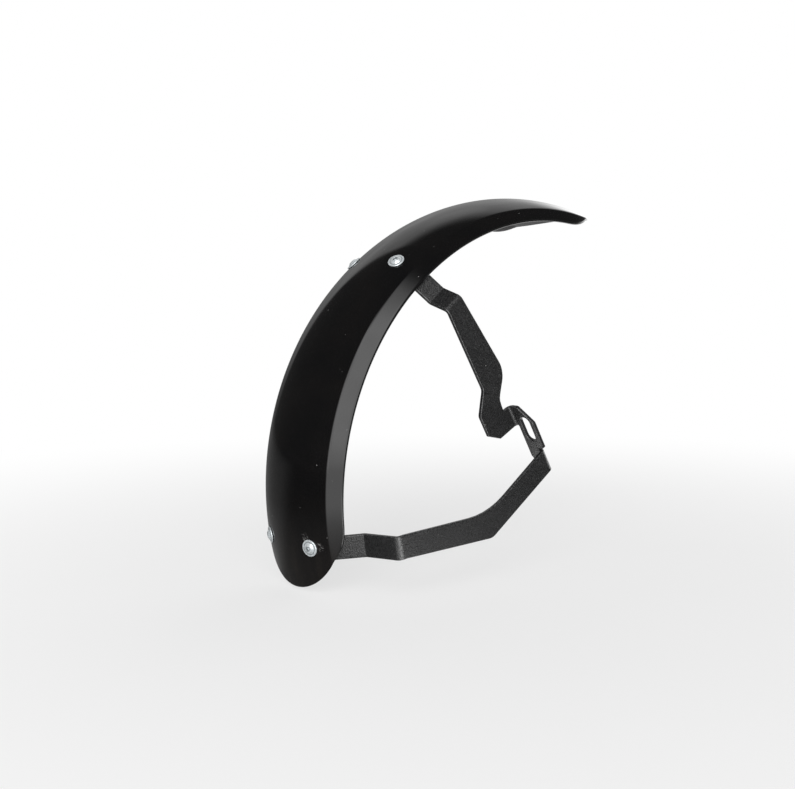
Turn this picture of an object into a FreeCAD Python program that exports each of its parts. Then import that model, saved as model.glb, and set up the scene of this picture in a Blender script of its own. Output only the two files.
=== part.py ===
import FreeCAD, Part
import math
import os
from FreeCAD import Vector

# Millimetres. X forward, Y left, Z up, worked out about the shell's own axis of curvature, which is
# parallel to Y. Angles round that axis: 0 forward, 90 up, 180 rearward. The parts are written with the
# middle of the mount slot, on the plate's front face, as the origin.

# Shell section
crown_radius = 214.0
crown_rise = 10.2
shoulder_half_width = 39.1
flank_depth = 9.2
flank_flare = 7.3
shoulder_round = 6.0
wall = 2.5

# Shell length, as angles of the two rounded tips
front_tip_angle = 72.0
tail_tip_angle = 197.3

# Bracket strip
strip_width = 16.0
strip_thickness = 3.0
bend_inside = 2.0
strap_gap = 0.3
strap_end_margin = 8.0
strap_corner = 4.0
strap_shift = 0.4

# Upper and lower straps: how far inside and outside the shell's edge each folds, how it steps outwards to
# its arm, and the straight run before the arm starts
upper_fold_drop = 14.2
upper_fold_reach = 1.6
upper_flare = 0.5
upper_step_out = 13.0
upper_step_drop = 7.1
upper_arm_lead = 0.8
lower_fold_drop = 11.0
lower_fold_reach = 5.7
lower_flare = 0.93
lower_step_out = 26.4
lower_step_drop = 8.4
lower_arm_lead = 2.0

# Upper arm's neck and gusset: depths behind the plate's bends, and heights from the plate's top
neck_rear_depth = 12.9
neck_rear_rise = 23.5
neck_rear_round = 6.0
gusset_depth = 24.6
gusset_rise = 8.6
gusset_fall = 8.2
gusset_round = 5.0
gusset_foot_depth = 15.7
neck_foot_depth = 3.7
neck_front_depth = 2.7
neck_front_rise = 9.8
neck_front_round = 10.0
arm_front_lead = 11.0
arm_front_rise = 25.7
arm_front_round = 18.0

# Lower arm's elbow: depths behind the plate's bends, and falls below the ends of the lower bend
elbow_low_depth = 68.5
elbow_low_fall = 8.1
elbow_low_round = 10.0
elbow_high_depth = 62.8
elbow_high_fall = 8.4
elbow_high_round = 60.0

# Mount plate: tilted about Y, its rear face this far behind the shell's axis. Heights are from the middle
# of the slot.
plate_tilt = 29.7
plate_rear = 23.8
plate_width = 16.0
plate_rise = 18.5
plate_fall = 35.1
upper_bend_rise = 2.5
lower_bend_fall = 17.8
plate_relief = 1.6
plate_round = 3.0
corner_round = 1.0
top_chamfer_width = 11.0
top_chamfer_height = 12.7
bottom_chamfer_width = 6.0
bottom_chamfer_height = 11.0
slot_width = 8.5
slot_length = 20.0
slot_height = 61.0

# Screws, with the washers and lock nuts on the inside
upper_screw_angle = 130.1
lower_screw_angle = 188.6
screw_spread = 51.0
shank_diameter = 5.0
hole_clearance = 0.5
screw_length = 16.0
flange_diameter = 11.8
flange_thickness = 1.0
dome_diameter = 8.6
dome_height = 1.8
socket_flats = 3.0
socket_depth = 1.9
washer_diameter = 10.0
washer_thickness = 1.0
washer_bore = 5.3
nut_flats = 8.0
nut_height = 5.0
nut_collar_height = 1.4
nut_collar_diameter = 7.0
seat_gap = 0.2
thread_gap = 0.1

# Values that follow from those above
shoulder_radius = crown_radius - crown_rise
crown_arc = (shoulder_half_width ** 2 + crown_rise ** 2) / (2 * crown_rise)
crown_arc_centre = crown_radius - crown_arc
edge_half_width = shoulder_half_width + flank_flare
edge_radius = shoulder_radius - flank_depth
tilt = math.radians(plate_tilt)
bend_outside = bend_inside + strip_thickness
bend_axis_depth = plate_rear + bend_inside
plate_front = plate_rear - strip_thickness
plate_top = slot_height + plate_rise
plate_bottom = slot_height - plate_fall
upper_bend_bottom = slot_height + upper_bend_rise
lower_bend_top = slot_height - lower_bend_fall
upper_strap_angle = upper_screw_angle + strap_shift
lower_strap_angle = lower_screw_angle + strap_shift
upper_fold_in = Vector(0, -edge_half_width - upper_fold_reach, edge_radius - upper_fold_drop)
upper_fold_out = upper_fold_in - Vector(0, upper_step_out, upper_step_drop)
lower_fold_in = Vector(0, -edge_half_width - lower_fold_reach, edge_radius - lower_fold_drop)
lower_fold_out = lower_fold_in - Vector(0, lower_step_out, lower_step_drop)
straight_in = Vector(0, 0, -1)
upper_turn = (upper_fold_out - upper_fold_in).getAngle(straight_in)
lower_turn = (lower_fold_out - lower_fold_in).getAngle(straight_in)
upper_arm_start = upper_fold_out + straight_in * (bend_outside * math.tan(upper_turn / 2) + upper_arm_lead)
lower_arm_start = lower_fold_out + straight_in * (bend_outside * math.tan(lower_turn / 2) + lower_arm_lead)
upper_arm_face = upper_fold_out.y
lower_arm_face = lower_fold_out.y
plate_inboard = upper_arm_face - bend_inside
plate_outboard = plate_inboard - plate_width
lower_bend_y = lower_arm_face + bend_outside
slot_y = (plate_inboard + plate_outboard) / 2
axis_line = (Vector(0, 0, 0), Vector(0, 1, 0))
crown_centre = Vector(0, 0, crown_arc_centre)
shoulder_corner = Vector(0, -shoulder_half_width, shoulder_radius)
flank_way = Vector(0, -flank_flare, -flank_depth).normalize()


def turned(shape, angle):
    """Carry a shape drawn at the top of the shell to another angle round its axis."""
    copy = shape.copy()
    copy.rotate(axis_line[0], axis_line[1], 90 - angle)
    return copy


def plate_point(y, depth, height):
    """A point by its place across the plate, its depth behind the axis and its height along the plate."""
    x = -depth * math.cos(tilt) - height * math.sin(tilt)
    z = -depth * math.sin(tilt) + height * math.cos(tilt)
    return Vector(x, y, z)


def arc_edge(centre, start, end):
    """The shorter arc about a centre between two points at the same distance from it."""
    middle = (start + end).multiply(0.5) - centre
    middle.normalize()
    top = centre + middle.multiply((start - centre).Length)
    return Part.Arc(start, top, end).toShape()


def rounded_outline(corners):
    """A closed flat outline from (point, radius) corners; a radius of zero leaves the corner sharp."""
    count = len(corners)
    entries = []
    exits = []
    for i in range(count):
        point, radius = corners[i]
        before = (corners[i - 1][0] - point).normalize()
        after = (corners[(i + 1) % count][0] - point).normalize()
        half = before.getAngle(after) / 2
        reach = radius / math.tan(half) if radius else 0.0
        entries.append(point + before * reach)
        exits.append(point + after * reach)
    edges = []
    for i in range(count):
        point, radius = corners[i]
        if radius:
            inward = ((entries[i] + exits[i]).multiply(0.5) - point).normalize()
            distance = math.sqrt((entries[i] - point).Length ** 2 + radius ** 2)
            edges.append(arc_edge(point + inward * distance, entries[i], exits[i]))
        following = entries[(i + 1) % count]
        if (following - exits[i]).Length > 1e-6:
            edges.append(Part.makeLine(exits[i], following))
    return Part.Face(Part.Wire(edges))


def shoulder(inset, line_point, down, radius):
    """The round between the crown and a line running down from it: its centre and two tangent points.

    The crown arc is moved inwards by the inset; the line is given by a point and its way down.
    """
    outward = Vector(0, down.z, -down.y)
    moved = line_point - outward * radius
    reach = crown_arc - inset - radius
    offset = moved - crown_centre
    along = offset.dot(down)
    back = math.sqrt(along ** 2 - offset.Length ** 2 + reach ** 2)
    centre = moved - down * (along + back)
    on_line = centre + outward * radius
    on_crown = crown_centre + (centre - crown_centre).normalize() * (crown_arc - inset)
    return centre, on_crown, on_line


def mirrored(point):
    return Vector(point.x, -point.y, point.z)


def shell_section():
    """The shell's closed section at the top: crown, shoulders, flanks and rounded lower edges."""
    across = Vector(0, flank_depth, -flank_flare).normalize()
    outer = shoulder(0.0, shoulder_corner, flank_way, shoulder_round)
    inner = shoulder(wall, shoulder_corner + across * wall, flank_way, shoulder_round - wall)
    run = Vector(0, -flank_flare, -flank_depth).Length - wall / 2
    outer_edge = shoulder_corner + flank_way * run
    inner_edge = outer_edge + across * wall
    tip = outer_edge + across * (wall / 2) + flank_way * (wall / 2)
    edges = [
        arc_edge(crown_centre, mirrored(outer[1]), outer[1]),
        arc_edge(outer[0], outer[1], outer[2]),
        Part.makeLine(outer[2], outer_edge),
        Part.Arc(outer_edge, tip, inner_edge).toShape(),
        Part.makeLine(inner_edge, inner[2]),
        arc_edge(inner[0], inner[2], inner[1]),
        arc_edge(crown_centre, inner[1], mirrored(inner[1])),
        arc_edge(mirrored(inner[0]), mirrored(inner[1]), mirrored(inner[2])),
        Part.makeLine(mirrored(inner[2]), mirrored(inner_edge)),
        Part.Arc(mirrored(inner_edge), mirrored(tip), mirrored(outer_edge)).toShape(),
        Part.makeLine(mirrored(outer_edge), mirrored(outer[2])),
        arc_edge(mirrored(outer[0]), mirrored(outer[2]), mirrored(outer[1])),
    ]
    return Part.Face(Part.Wire(edges))


def end_trim(side):
    """What is cut from one end to leave it round in plan; side 1 trims forward, -1 rearward."""
    reach = crown_radius
    block = Part.makeBox(reach, 4 * edge_half_width, reach, Vector(0, -2 * edge_half_width, reach / 2))
    round_end = Part.makeCylinder(edge_half_width, reach, Vector(0, 0, reach / 2))
    tool = block.cut(round_end)
    if side < 0:
        tool.rotate(Vector(0, 0, 0), Vector(0, 0, 1), 180)
    return tool


def screw_frame(angle, y):
    """Where a screw stands on the outside of the crown, and the way its axis points outwards."""
    lean = math.asin(y / crown_arc)
    normal = Vector(0, math.sin(lean), math.cos(lean))
    foot = crown_centre + normal * crown_arc
    turn = FreeCAD.Rotation(Vector(0, 1, 0), 90 - angle)
    return turn.multVec(foot), turn.multVec(normal)


def screw_hole(angle, y):
    foot, normal = screw_frame(angle, y)
    depth = 4 * (wall + strip_thickness)
    return Part.makeCylinder((shank_diameter + hole_clearance) / 2, depth, foot - normal * (depth / 2), normal)


def all_screw_holes():
    holes = []
    for angle in (upper_screw_angle, lower_screw_angle):
        for y in (-screw_spread / 2, screw_spread / 2):
            holes.append(screw_hole(angle, y))
    return holes


def fender_shell():
    half_end = math.degrees(math.asin(edge_half_width / crown_radius))
    spare = 2.0
    start = front_tip_angle - spare
    sweep = tail_tip_angle - front_tip_angle + 2 * spare
    section = turned(shell_section(), start)
    shell = section.revolve(axis_line[0], axis_line[1], -sweep)
    front = turned(end_trim(1), front_tip_angle + half_end)
    tail = turned(end_trim(-1), tail_tip_angle - half_end)
    return shell.cut([front, tail] + all_screw_holes())


def bend_corner(point, before, after, outside):
    """One fold of a strip seen edge on: the tangent points and centre for its two faces.

    The point is where the two straight runs of the drawn face would meet. When that face is on the
    outside of the fold it takes the larger radius.
    """
    near = bend_outside if outside else bend_inside
    turn = before.getAngle(after)
    reach = near * math.tan(turn / 2)
    start = point - before * reach
    end = point + after * reach
    inward = (after - before).normalize()
    centre = point + inward * (near / math.cos(turn / 2))
    far = bend_inside if outside else bend_outside
    other_start = centre + (start - centre).normalize() * far
    other_end = centre + (end - centre).normalize() * far
    return centre, start, end, other_start, other_end


def strap(strap_angle, fold_in, flare, fold_out, arm_start):
    """The strap under the crown with its three folds, ending where the flat arm starts.

    The folds are points of its outer face at the top of the shell; the flare is how far the run out of
    the shell leans outwards for each millimetre it goes inwards.
    """
    inset = wall + strap_gap
    way_flank = Vector(0, -flare, -1).normalize()
    outer = shoulder(inset, fold_in, way_flank, bend_outside)
    lean = math.asin((screw_spread / 2 + strap_end_margin) / crown_arc)
    end_way = Vector(0, math.sin(lean), math.cos(lean))
    outer_end = crown_centre + end_way * (crown_arc - inset)
    inner_end = crown_centre + end_way * (crown_arc - inset - strip_thickness)
    inner_crown = crown_centre + (outer[1] - crown_centre).normalize() * (crown_arc - inset - strip_thickness)
    inner_flank = outer[0] + (outer[2] - outer[0]).normalize() * bend_inside
    way_step = (fold_out - fold_in).normalize()
    way_arm = (arm_start - fold_out).normalize()
    first = bend_corner(fold_in, way_flank, way_step, False)
    second = bend_corner(fold_out, way_step, way_arm, True)
    arm_back = arm_start + Vector(0, strip_thickness, 0)
    edges = [
        arc_edge(crown_centre, outer_end, outer[1]),
        arc_edge(outer[0], outer[1], outer[2]),
        Part.makeLine(outer[2], first[1]),
        arc_edge(first[0], first[1], first[2]),
        Part.makeLine(first[2], second[1]),
        arc_edge(second[0], second[1], second[2]),
        Part.makeLine(second[2], arm_start),
        Part.makeLine(arm_start, arm_back),
        Part.makeLine(arm_back, second[4]),
        arc_edge(second[0], second[4], second[3]),
        Part.makeLine(second[3], first[4]),
        arc_edge(first[0], first[4], first[3]),
        Part.makeLine(first[3], inner_flank),
        arc_edge(outer[0], inner_flank, inner_crown),
        arc_edge(crown_centre, inner_crown, inner_end),
        Part.makeLine(inner_end, outer_end),
    ]
    face = Part.Face(Part.Wire(edges))
    face.translate(Vector(-strip_width / 2, 0, 0))
    solid = face.extrude(Vector(strip_width, 0, 0))
    end_edges = []
    for edge in solid.Edges:
        ends = [vertex.Point for vertex in edge.Vertexes]
        at_end = all(point.y > inner_end.y - seat_gap for point in ends)
        if at_end and abs(ends[0].x - ends[1].x) < 1e-6:
            end_edges.append(edge)
    return turned(solid.makeFillet(strap_corner, end_edges), strap_angle)


def arm_start_corner(strap_angle, arm_start, side):
    """A corner of the flat arm where its strap ends; side 1 is the rear or lower edge."""
    turn = FreeCAD.Rotation(Vector(0, 1, 0), 90 - strap_angle)
    return turn.multVec(Vector(-side * strip_width / 2, 0, arm_start.z))


def flat_arm(corners, arm_face):
    """A flat arm lying across Y, one strip thick, from its side view corners."""
    face = rounded_outline(corners)
    face.translate(Vector(0, arm_face, 0))
    return face.extrude(Vector(0, strip_thickness, 0))


def arm_corner(depth, height):
    """A corner of a flat arm by its depth behind the plate's bends and its height along the plate."""
    return plate_point(0, bend_axis_depth + depth, height)


def upper_arm():
    corners = [
        (arm_start_corner(upper_strap_angle, upper_arm_start, 1), 0.0),
        (arm_corner(neck_rear_depth, plate_top + neck_rear_rise), neck_rear_round),
        (arm_corner(gusset_depth, plate_top + gusset_rise), gusset_round),
        (arm_corner(gusset_depth, plate_top - gusset_fall), corner_round),
        (arm_corner(gusset_foot_depth, upper_bend_bottom), corner_round),
        (arm_corner(0, upper_bend_bottom), 0.0),
        (arm_corner(0, plate_top), 0.0),
        (arm_corner(neck_foot_depth, plate_top), corner_round),
        (arm_corner(neck_front_depth, plate_top + neck_front_rise), neck_front_round),
        (arm_corner(-arm_front_lead, plate_top + arm_front_rise), arm_front_round),
        (arm_start_corner(upper_strap_angle, upper_arm_start, -1), 0.0),
    ]
    return flat_arm(corners, upper_arm_face)


def lower_arm():
    corners = [
        (arm_start_corner(lower_strap_angle, lower_arm_start, 1), 0.0),
        (arm_corner(elbow_low_depth, plate_bottom - elbow_low_fall), elbow_low_round),
        (arm_corner(0, plate_bottom), 0.0),
        (arm_corner(0, lower_bend_top), 0.0),
        (arm_corner(elbow_high_depth, lower_bend_top - elbow_high_fall), elbow_high_round),
        (arm_start_corner(lower_strap_angle, lower_arm_start, -1), 0.0),
    ]
    return flat_arm(corners, lower_arm_face)


def plate_bend(y, side, bottom, top):
    """A quarter turn joining the plate to an arm; side 1 is the inboard arm, -1 the outboard one."""
    centre = plate_point(y, bend_axis_depth, bottom)
    to_arm = Vector(0, side, 0)
    to_plate = plate_point(0, -1, 0)
    points = []
    for radius in (bend_inside, bend_outside):
        points.append((centre + to_arm * radius, centre + to_plate * radius))
    edges = [
        arc_edge(centre, points[0][0], points[0][1]),
        Part.makeLine(points[0][1], points[1][1]),
        arc_edge(centre, points[1][1], points[1][0]),
        Part.makeLine(points[1][0], points[0][0]),
    ]
    return Part.Face(Part.Wire(edges)).extrude(plate_point(0, 0, top - bottom))


def mount_slot():
    reach = (slot_length - slot_width) / 2
    depth = plate_front - strip_thickness
    ends = []
    for height in (slot_height - reach, slot_height + reach):
        start = plate_point(slot_y, depth, height)
        ends.append(Part.makeCylinder(slot_width / 2, 3 * strip_thickness, start, plate_point(0, 1, 0)))
    corners = []
    for y, height in ((-1, -1), (1, -1), (1, 1), (-1, 1)):
        point = plate_point(slot_y + y * slot_width / 2, depth, slot_height + height * reach)
        corners.append((point, 0.0))
    middle = rounded_outline(corners).extrude(plate_point(0, 3 * strip_thickness, 0))
    return ends[0].fuse([ends[1], middle]).removeSplitter()


def mount_plate():
    """The tilted plate between the arms, with two corners cut off and the slot through it."""
    outline = [
        (plate_inboard, plate_top, 0.0),
        (plate_outboard + top_chamfer_width, plate_top, plate_round),
        (plate_outboard, plate_top - top_chamfer_height, plate_round),
        (plate_outboard, lower_bend_top + plate_relief, corner_round),
        (lower_bend_y, lower_bend_top + plate_relief, 0.0),
        (lower_bend_y, plate_bottom, 0.0),
        (plate_inboard - bottom_chamfer_width, plate_bottom, corner_round),
        (plate_inboard, plate_bottom + bottom_chamfer_height, plate_round),
    ]
    corners = [(plate_point(y, plate_front, height), radius) for y, height, radius in outline]
    plate = rounded_outline(corners).extrude(plate_point(0, strip_thickness, 0))
    return plate.cut(mount_slot())


def stay_bracket():
    pieces = [
        strap(upper_strap_angle, upper_fold_in, upper_flare, upper_fold_out, upper_arm_start),
        upper_arm(),
        plate_bend(plate_inboard, 1, upper_bend_bottom, plate_top),
        plate_bend(lower_bend_y, -1, plate_bottom, lower_bend_top),
        lower_arm(),
        strap(lower_strap_angle, lower_fold_in, lower_flare, lower_fold_out, lower_arm_start),
    ]
    bracket = mount_plate().fuse(pieces).removeSplitter()
    return bracket.cut(all_screw_holes())


def hexagon(flats, height, base):
    corner = flats / math.sqrt(3)
    points = [Vector(corner * math.cos(math.radians(60 * i)), corner * math.sin(math.radians(60 * i)), base)
              for i in range(7)]
    return Part.Face(Part.makePolygon(points)).extrude(Vector(0, 0, height))


def screw():
    """A flanged button head screw on the Z axis, the underside of its flange at zero."""
    shank = Part.makeCylinder(shank_diameter / 2, screw_length, Vector(0, 0, -screw_length))
    flange = Part.makeCylinder(flange_diameter / 2, flange_thickness)
    rim = [edge for edge in flange.Edges if edge.BoundBox.ZMin > flange_thickness / 2 and edge.Closed]
    flange = flange.makeFillet(flange_thickness * 0.6, rim)
    ball = ((dome_diameter / 2) ** 2 + dome_height ** 2) / (2 * dome_height)
    dome = Part.makeSphere(ball, Vector(0, 0, flange_thickness + dome_height - ball))
    keep = Part.makeCylinder(dome_diameter / 2, dome_height + 1, Vector(0, 0, flange_thickness - 0.1))
    head = shank.fuse([flange, dome.common(keep)]).removeSplitter()
    top = flange_thickness + dome_height
    return head.cut(hexagon(socket_flats, socket_depth + 1, top - socket_depth))


def washer():
    """A plain washer on the Z axis, its upper face at zero."""
    disc = Part.makeCylinder(washer_diameter / 2, washer_thickness, Vector(0, 0, -washer_thickness))
    bore = Part.makeCylinder(washer_bore / 2, 3 * washer_thickness, Vector(0, 0, -2 * washer_thickness))
    return disc.cut(bore)


def lock_nut():
    """A lock nut on the Z axis, its seat at zero and its collar below."""
    body = hexagon(nut_flats, nut_height - nut_collar_height, nut_collar_height - nut_height)
    collar = Part.makeCylinder(nut_collar_diameter / 2, nut_height, Vector(0, 0, -nut_height))
    bore = Part.makeCylinder((shank_diameter + thread_gap) / 2, 2 * nut_height, Vector(0, 0, -1.5 * nut_height))
    return body.fuse(collar).removeSplitter().cut(bore)


def fasteners():
    """Every screw, washer and nut by name, each standing on its own place on the crown."""
    washer_seat = -(wall + strap_gap + strip_thickness + seat_gap)
    nut_seat = washer_seat - washer_thickness
    made = {}
    for level, angle in (("upper", upper_screw_angle), ("lower", lower_screw_angle)):
        for side, y in (("right", -screw_spread / 2), ("left", screw_spread / 2)):
            foot, normal = screw_frame(angle, y)
            turn = FreeCAD.Rotation(Vector(0, 0, 1), normal)
            for kind, shape, seat in (("screw", screw(), 0.0), ("washer", washer(), washer_seat),
                                      ("nut", lock_nut(), nut_seat)):
                shape.Placement = FreeCAD.Placement(foot + normal * seat, turn)
                made[kind + "_" + level + "_" + side] = shape
    return made


def write(name, shape):
    shape.translate(plate_point(slot_y, plate_front, slot_height) * -1)
    shape.exportStep(os.path.join("parts", name + ".step"))


os.makedirs("parts", exist_ok=True)
write("fender_shell", fender_shell())
write("stay_bracket", stay_bracket())
for name, shape in fasteners().items():
    write(name, shape)
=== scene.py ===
"""Studio scene of a scooter front fender: gloss shell, coated stay bracket and plated fasteners.

Shapes are worked out in millimetres about the shell's own axis of curvature (X forward, Y left, Z up,
angles round the axis from forward through up) and placed in metres with the middle of the bracket's
mount slot, on the plate's front face, as the origin.
"""

import logging
import math
from dataclasses import dataclass, field
from enum import Enum

import bpy
import numpy as np
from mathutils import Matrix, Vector
from numpy.typing import NDArray

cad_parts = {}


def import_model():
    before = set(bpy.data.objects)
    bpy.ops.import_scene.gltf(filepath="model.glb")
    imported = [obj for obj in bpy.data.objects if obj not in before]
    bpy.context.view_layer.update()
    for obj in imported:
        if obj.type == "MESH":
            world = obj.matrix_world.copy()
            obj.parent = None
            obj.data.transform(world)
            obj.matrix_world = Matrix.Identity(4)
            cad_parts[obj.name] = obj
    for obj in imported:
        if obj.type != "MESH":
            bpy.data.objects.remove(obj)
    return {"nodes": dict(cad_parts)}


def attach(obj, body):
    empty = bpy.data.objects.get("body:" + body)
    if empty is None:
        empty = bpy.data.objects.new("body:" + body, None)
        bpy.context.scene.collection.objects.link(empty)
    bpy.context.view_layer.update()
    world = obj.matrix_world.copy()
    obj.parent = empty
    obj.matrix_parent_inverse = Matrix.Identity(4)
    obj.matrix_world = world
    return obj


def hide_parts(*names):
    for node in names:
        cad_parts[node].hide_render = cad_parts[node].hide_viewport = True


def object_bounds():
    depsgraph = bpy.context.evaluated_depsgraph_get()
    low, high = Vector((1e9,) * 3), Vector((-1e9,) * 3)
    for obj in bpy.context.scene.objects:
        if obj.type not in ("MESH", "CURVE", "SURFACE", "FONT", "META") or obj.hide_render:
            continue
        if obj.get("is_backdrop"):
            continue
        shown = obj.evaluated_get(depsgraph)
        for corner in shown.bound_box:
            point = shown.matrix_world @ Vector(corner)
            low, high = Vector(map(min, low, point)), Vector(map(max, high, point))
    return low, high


Array = NDArray[np.float64]
Colour = tuple[float, float, float]
Triple = tuple[float, float, float]
Pair = tuple[float, float]
Band = tuple[float, float, float, float]
Corner = tuple[float, float, float, bool]
Flags = NDArray[np.bool_]
Socket = bpy.types.NodeSocket
MILLIMETRE = 0.001
QUARTER_TURN = math.pi / 2
FULL_TURN = 2 * math.pi
ACROSS = np.array([0.0, 1.0, 0.0])
WHITE: Colour = (1.0, 1.0, 1.0)
BODY = "root"
# A value too small to matter: slack before rounding up, and a guard against dividing by nought.
SLACK = 1e-6
# Share of a weld cell by which cells are shifted, so that round values don't fall on their borders.
WELD_SHIFT = 0.3
# Sine of the angle below which two sides of an outline count as in line.
IN_LINE = 0.01
# Fewest points on the arc of a rounded corner.
ARC_POINTS = 3
log = logging.getLogger("fender")


class Slot(Enum):
    """Names of the three material slots."""

    SHELL = "shell_gloss"
    BRACKET = "bracket_coat"
    FASTENER = "fastener_zinc"


class Level(Enum):
    """The two straps, by name."""

    UPPER = "upper"
    LOWER = "lower"


class Side(Enum):
    """The two sides of the shell, by the sign of Y."""

    RIGHT = -1
    LEFT = 1


class Mark(Enum):
    """Names of the point attributes that materials read."""

    UNDERSIDE = "underside"
    EDGE = "edge"
    # Share of shade painted dark into the screws' sockets and the grooves round their domes.
    RECESS = "recess"


@dataclass(frozen=True)
class ShellSizes:
    """The shell's section and length, in millimetres and degrees."""

    crown_radius: float = 214.0
    crown_rise: float = 10.2
    shoulder_half_width: float = 39.1
    flank_depth: float = 9.2
    flank_flare: float = 7.3
    shoulder_round: float = 6.0
    wall: float = 2.5
    front_tip: float = 72.0
    tail_tip: float = 197.3

    @property
    def crown_arc(self) -> float:
        """Radius of the crown across its width."""
        return (self.shoulder_half_width ** 2 + self.crown_rise ** 2) / (2 * self.crown_rise)

    @property
    def crown_centre(self) -> float:
        """Distance of the crown arc's centre from the shell's axis."""
        return self.crown_radius - self.crown_arc

    @property
    def shoulder_radius(self) -> float:
        """Distance of the shoulder's corner from the axis."""
        return self.crown_radius - self.crown_rise

    @property
    def edge_half_width(self) -> float:
        """Half the width over the flanks' lower edges."""
        return self.shoulder_half_width + self.flank_flare

    @property
    def edge_radius(self) -> float:
        """Distance of the flanks' lower edges from the axis."""
        return self.shoulder_radius - self.flank_depth

    @property
    def end_length(self) -> float:
        """Length of an end's round, to the middle of the rim."""
        return self.edge_half_width - self.wall / 2


@dataclass(frozen=True)
class StrapSizes:
    """One strap's folds, from the shell's edge outwards to its arm."""

    angle: float
    fold_drop: float
    fold_reach: float
    flare: float
    step_out: float
    step_drop: float
    arm_lead: float


@dataclass(frozen=True)
class BracketSizes:
    """The bent bracket, in millimetres and degrees.

    Corners of the flat arms are given by their depth behind the plate's bends, their rise above the
    plate's top for the upper arm, or above the bend's end on the same edge for the lower one, and their
    radius.
    """

    strip_width: float = 16.0
    thickness: float = 3.0
    bend_inside: float = 2.0
    edge_round: float = 0.7
    strap_gap: float = 0.3
    strap_end_margin: float = 8.0
    strap_corner: float = 4.0
    upper: StrapSizes = StrapSizes(
        angle=130.5, fold_drop=14.2, fold_reach=1.6, flare=0.5, step_out=13.0, step_drop=7.1, arm_lead=0.8)
    lower: StrapSizes = StrapSizes(
        angle=189.0, fold_drop=11.0, fold_reach=5.7, flare=0.93, step_out=26.4, step_drop=8.4, arm_lead=2.0)
    plate_tilt: float = 29.7
    plate_rear: float = 23.8
    plate_width: float = 16.0
    plate_rise: float = 18.5
    plate_fall: float = 35.1
    upper_bend_rise: float = 2.5
    lower_bend_fall: float = 17.8
    plate_relief: float = 1.6
    plate_round: float = 3.0
    corner_round: float = 1.0
    top_chamfer: Pair = (11.0, 12.7)
    bottom_chamfer: Pair = (6.0, 11.0)
    upper_rear: tuple[Triple, ...] = ((12.9, 23.5, 6.0), (24.6, 8.6, 5.0), (24.6, -8.2, 1.0))
    upper_gusset_depth: float = 15.7
    upper_front: tuple[Triple, ...] = ((3.7, 0.0, 1.0), (2.7, 9.8, 10.0), (-11.0, 25.7, 18.0))
    lower_rear: Triple = (68.5, -8.1, 10.0)
    lower_front: Triple = (62.8, -8.4, 60.0)
    slot_width: float = 8.5
    slot_length: float = 20.0
    slot_height: float = 61.0

    @property
    def bend_middle(self) -> float:
        """Radius of a bend at the middle of the strip's thickness."""
        return self.bend_inside + self.thickness / 2

    @property
    def bend_outside(self) -> float:
        """Radius of a bend on its outer face."""
        return self.bend_inside + self.thickness

    @property
    def bend_depth(self) -> float:
        """Depth of the plate's bend axes behind the shell's axis."""
        return self.plate_rear + self.bend_inside

    @property
    def plate_top(self) -> float:
        """Height of the plate's top edge."""
        return self.slot_height + self.plate_rise

    @property
    def plate_bottom(self) -> float:
        """Height of the plate's bottom edge."""
        return self.slot_height - self.plate_fall

    @property
    def upper_bend_bottom(self) -> float:
        """Height of the lower end of the upper arm's bend."""
        return self.slot_height + self.upper_bend_rise

    @property
    def lower_bend_top(self) -> float:
        """Height of the upper end of the lower arm's bend."""
        return self.slot_height - self.lower_bend_fall

    def plate_point(self, across: Array | float, depth: Array | float, height: Array | float) -> Array:
        """Points by their place across the plate, depth behind the axis and height along the plate.

        Args:
            across: Y of the points.
            depth: Distance behind the shell's axis, square to the plate.
            height: Distance up along the plate.

        Returns:
            Points with a last axis of three.
        """
        tilt = math.radians(self.plate_tilt)
        across, depth, height = np.broadcast_arrays(np.asarray(across, float), depth, height)
        x = -depth * math.cos(tilt) - height * math.sin(tilt)
        z = -depth * math.sin(tilt) + height * math.cos(tilt)
        return np.stack([x, across, z], axis=-1)


@dataclass(frozen=True)
class FastenerSizes:
    """Screws, washers and lock nuts, in millimetres and degrees.

    The groove round a screw's dome is given by how far its rows lie past the dome's edge, each with its
    height above the flange, and a nut's chamfer by its rows' drops and how far its cone stands past the
    flats there.
    """

    upper_angle: float = 130.1
    lower_angle: float = 188.6
    spread: float = 51.0
    shank: float = 5.0
    length: float = 16.0
    pitch: float = 0.8
    flange: float = 11.8
    flange_thickness: float = 1.0
    dome: float = 8.6
    dome_height: float = 1.8
    dome_edge: float = 0.1
    groove: tuple[Pair, ...] = ((0.02, 0.06), (0.25, 0.0), (0.5, 0.0))
    socket_flats: float = 3.0
    socket_depth: float = 1.9
    socket_chamfer: float = 0.16
    socket_floor: float = 0.97
    socket_fillet: float = 0.1
    socket_point: float = 0.25
    thread_depth: float = 0.4
    thread_start: float = 2.0
    thread_run_in: float = 0.6
    shank_top: float = 0.2
    tip_chamfer: float = 0.6
    washer: float = 10.0
    washer_thickness: float = 1.0
    washer_bore: float = 5.3
    washer_edge: float = 0.2
    nut_flats: float = 8.0
    nut_height: float = 5.0
    nut_chamfer_drops: tuple[float, ...] = (0.0, 0.15, 0.3, 0.5)
    nut_chamfer_cone: Triple = (-0.1, 0.15, 0.4)
    nut_collar: float = 7.0
    nut_collar_height: float = 1.4
    nut_collar_rounds: Pair = (0.15, 0.5)
    nut_clearance: float = 0.05
    seat_gap: float = 0.2


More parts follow.
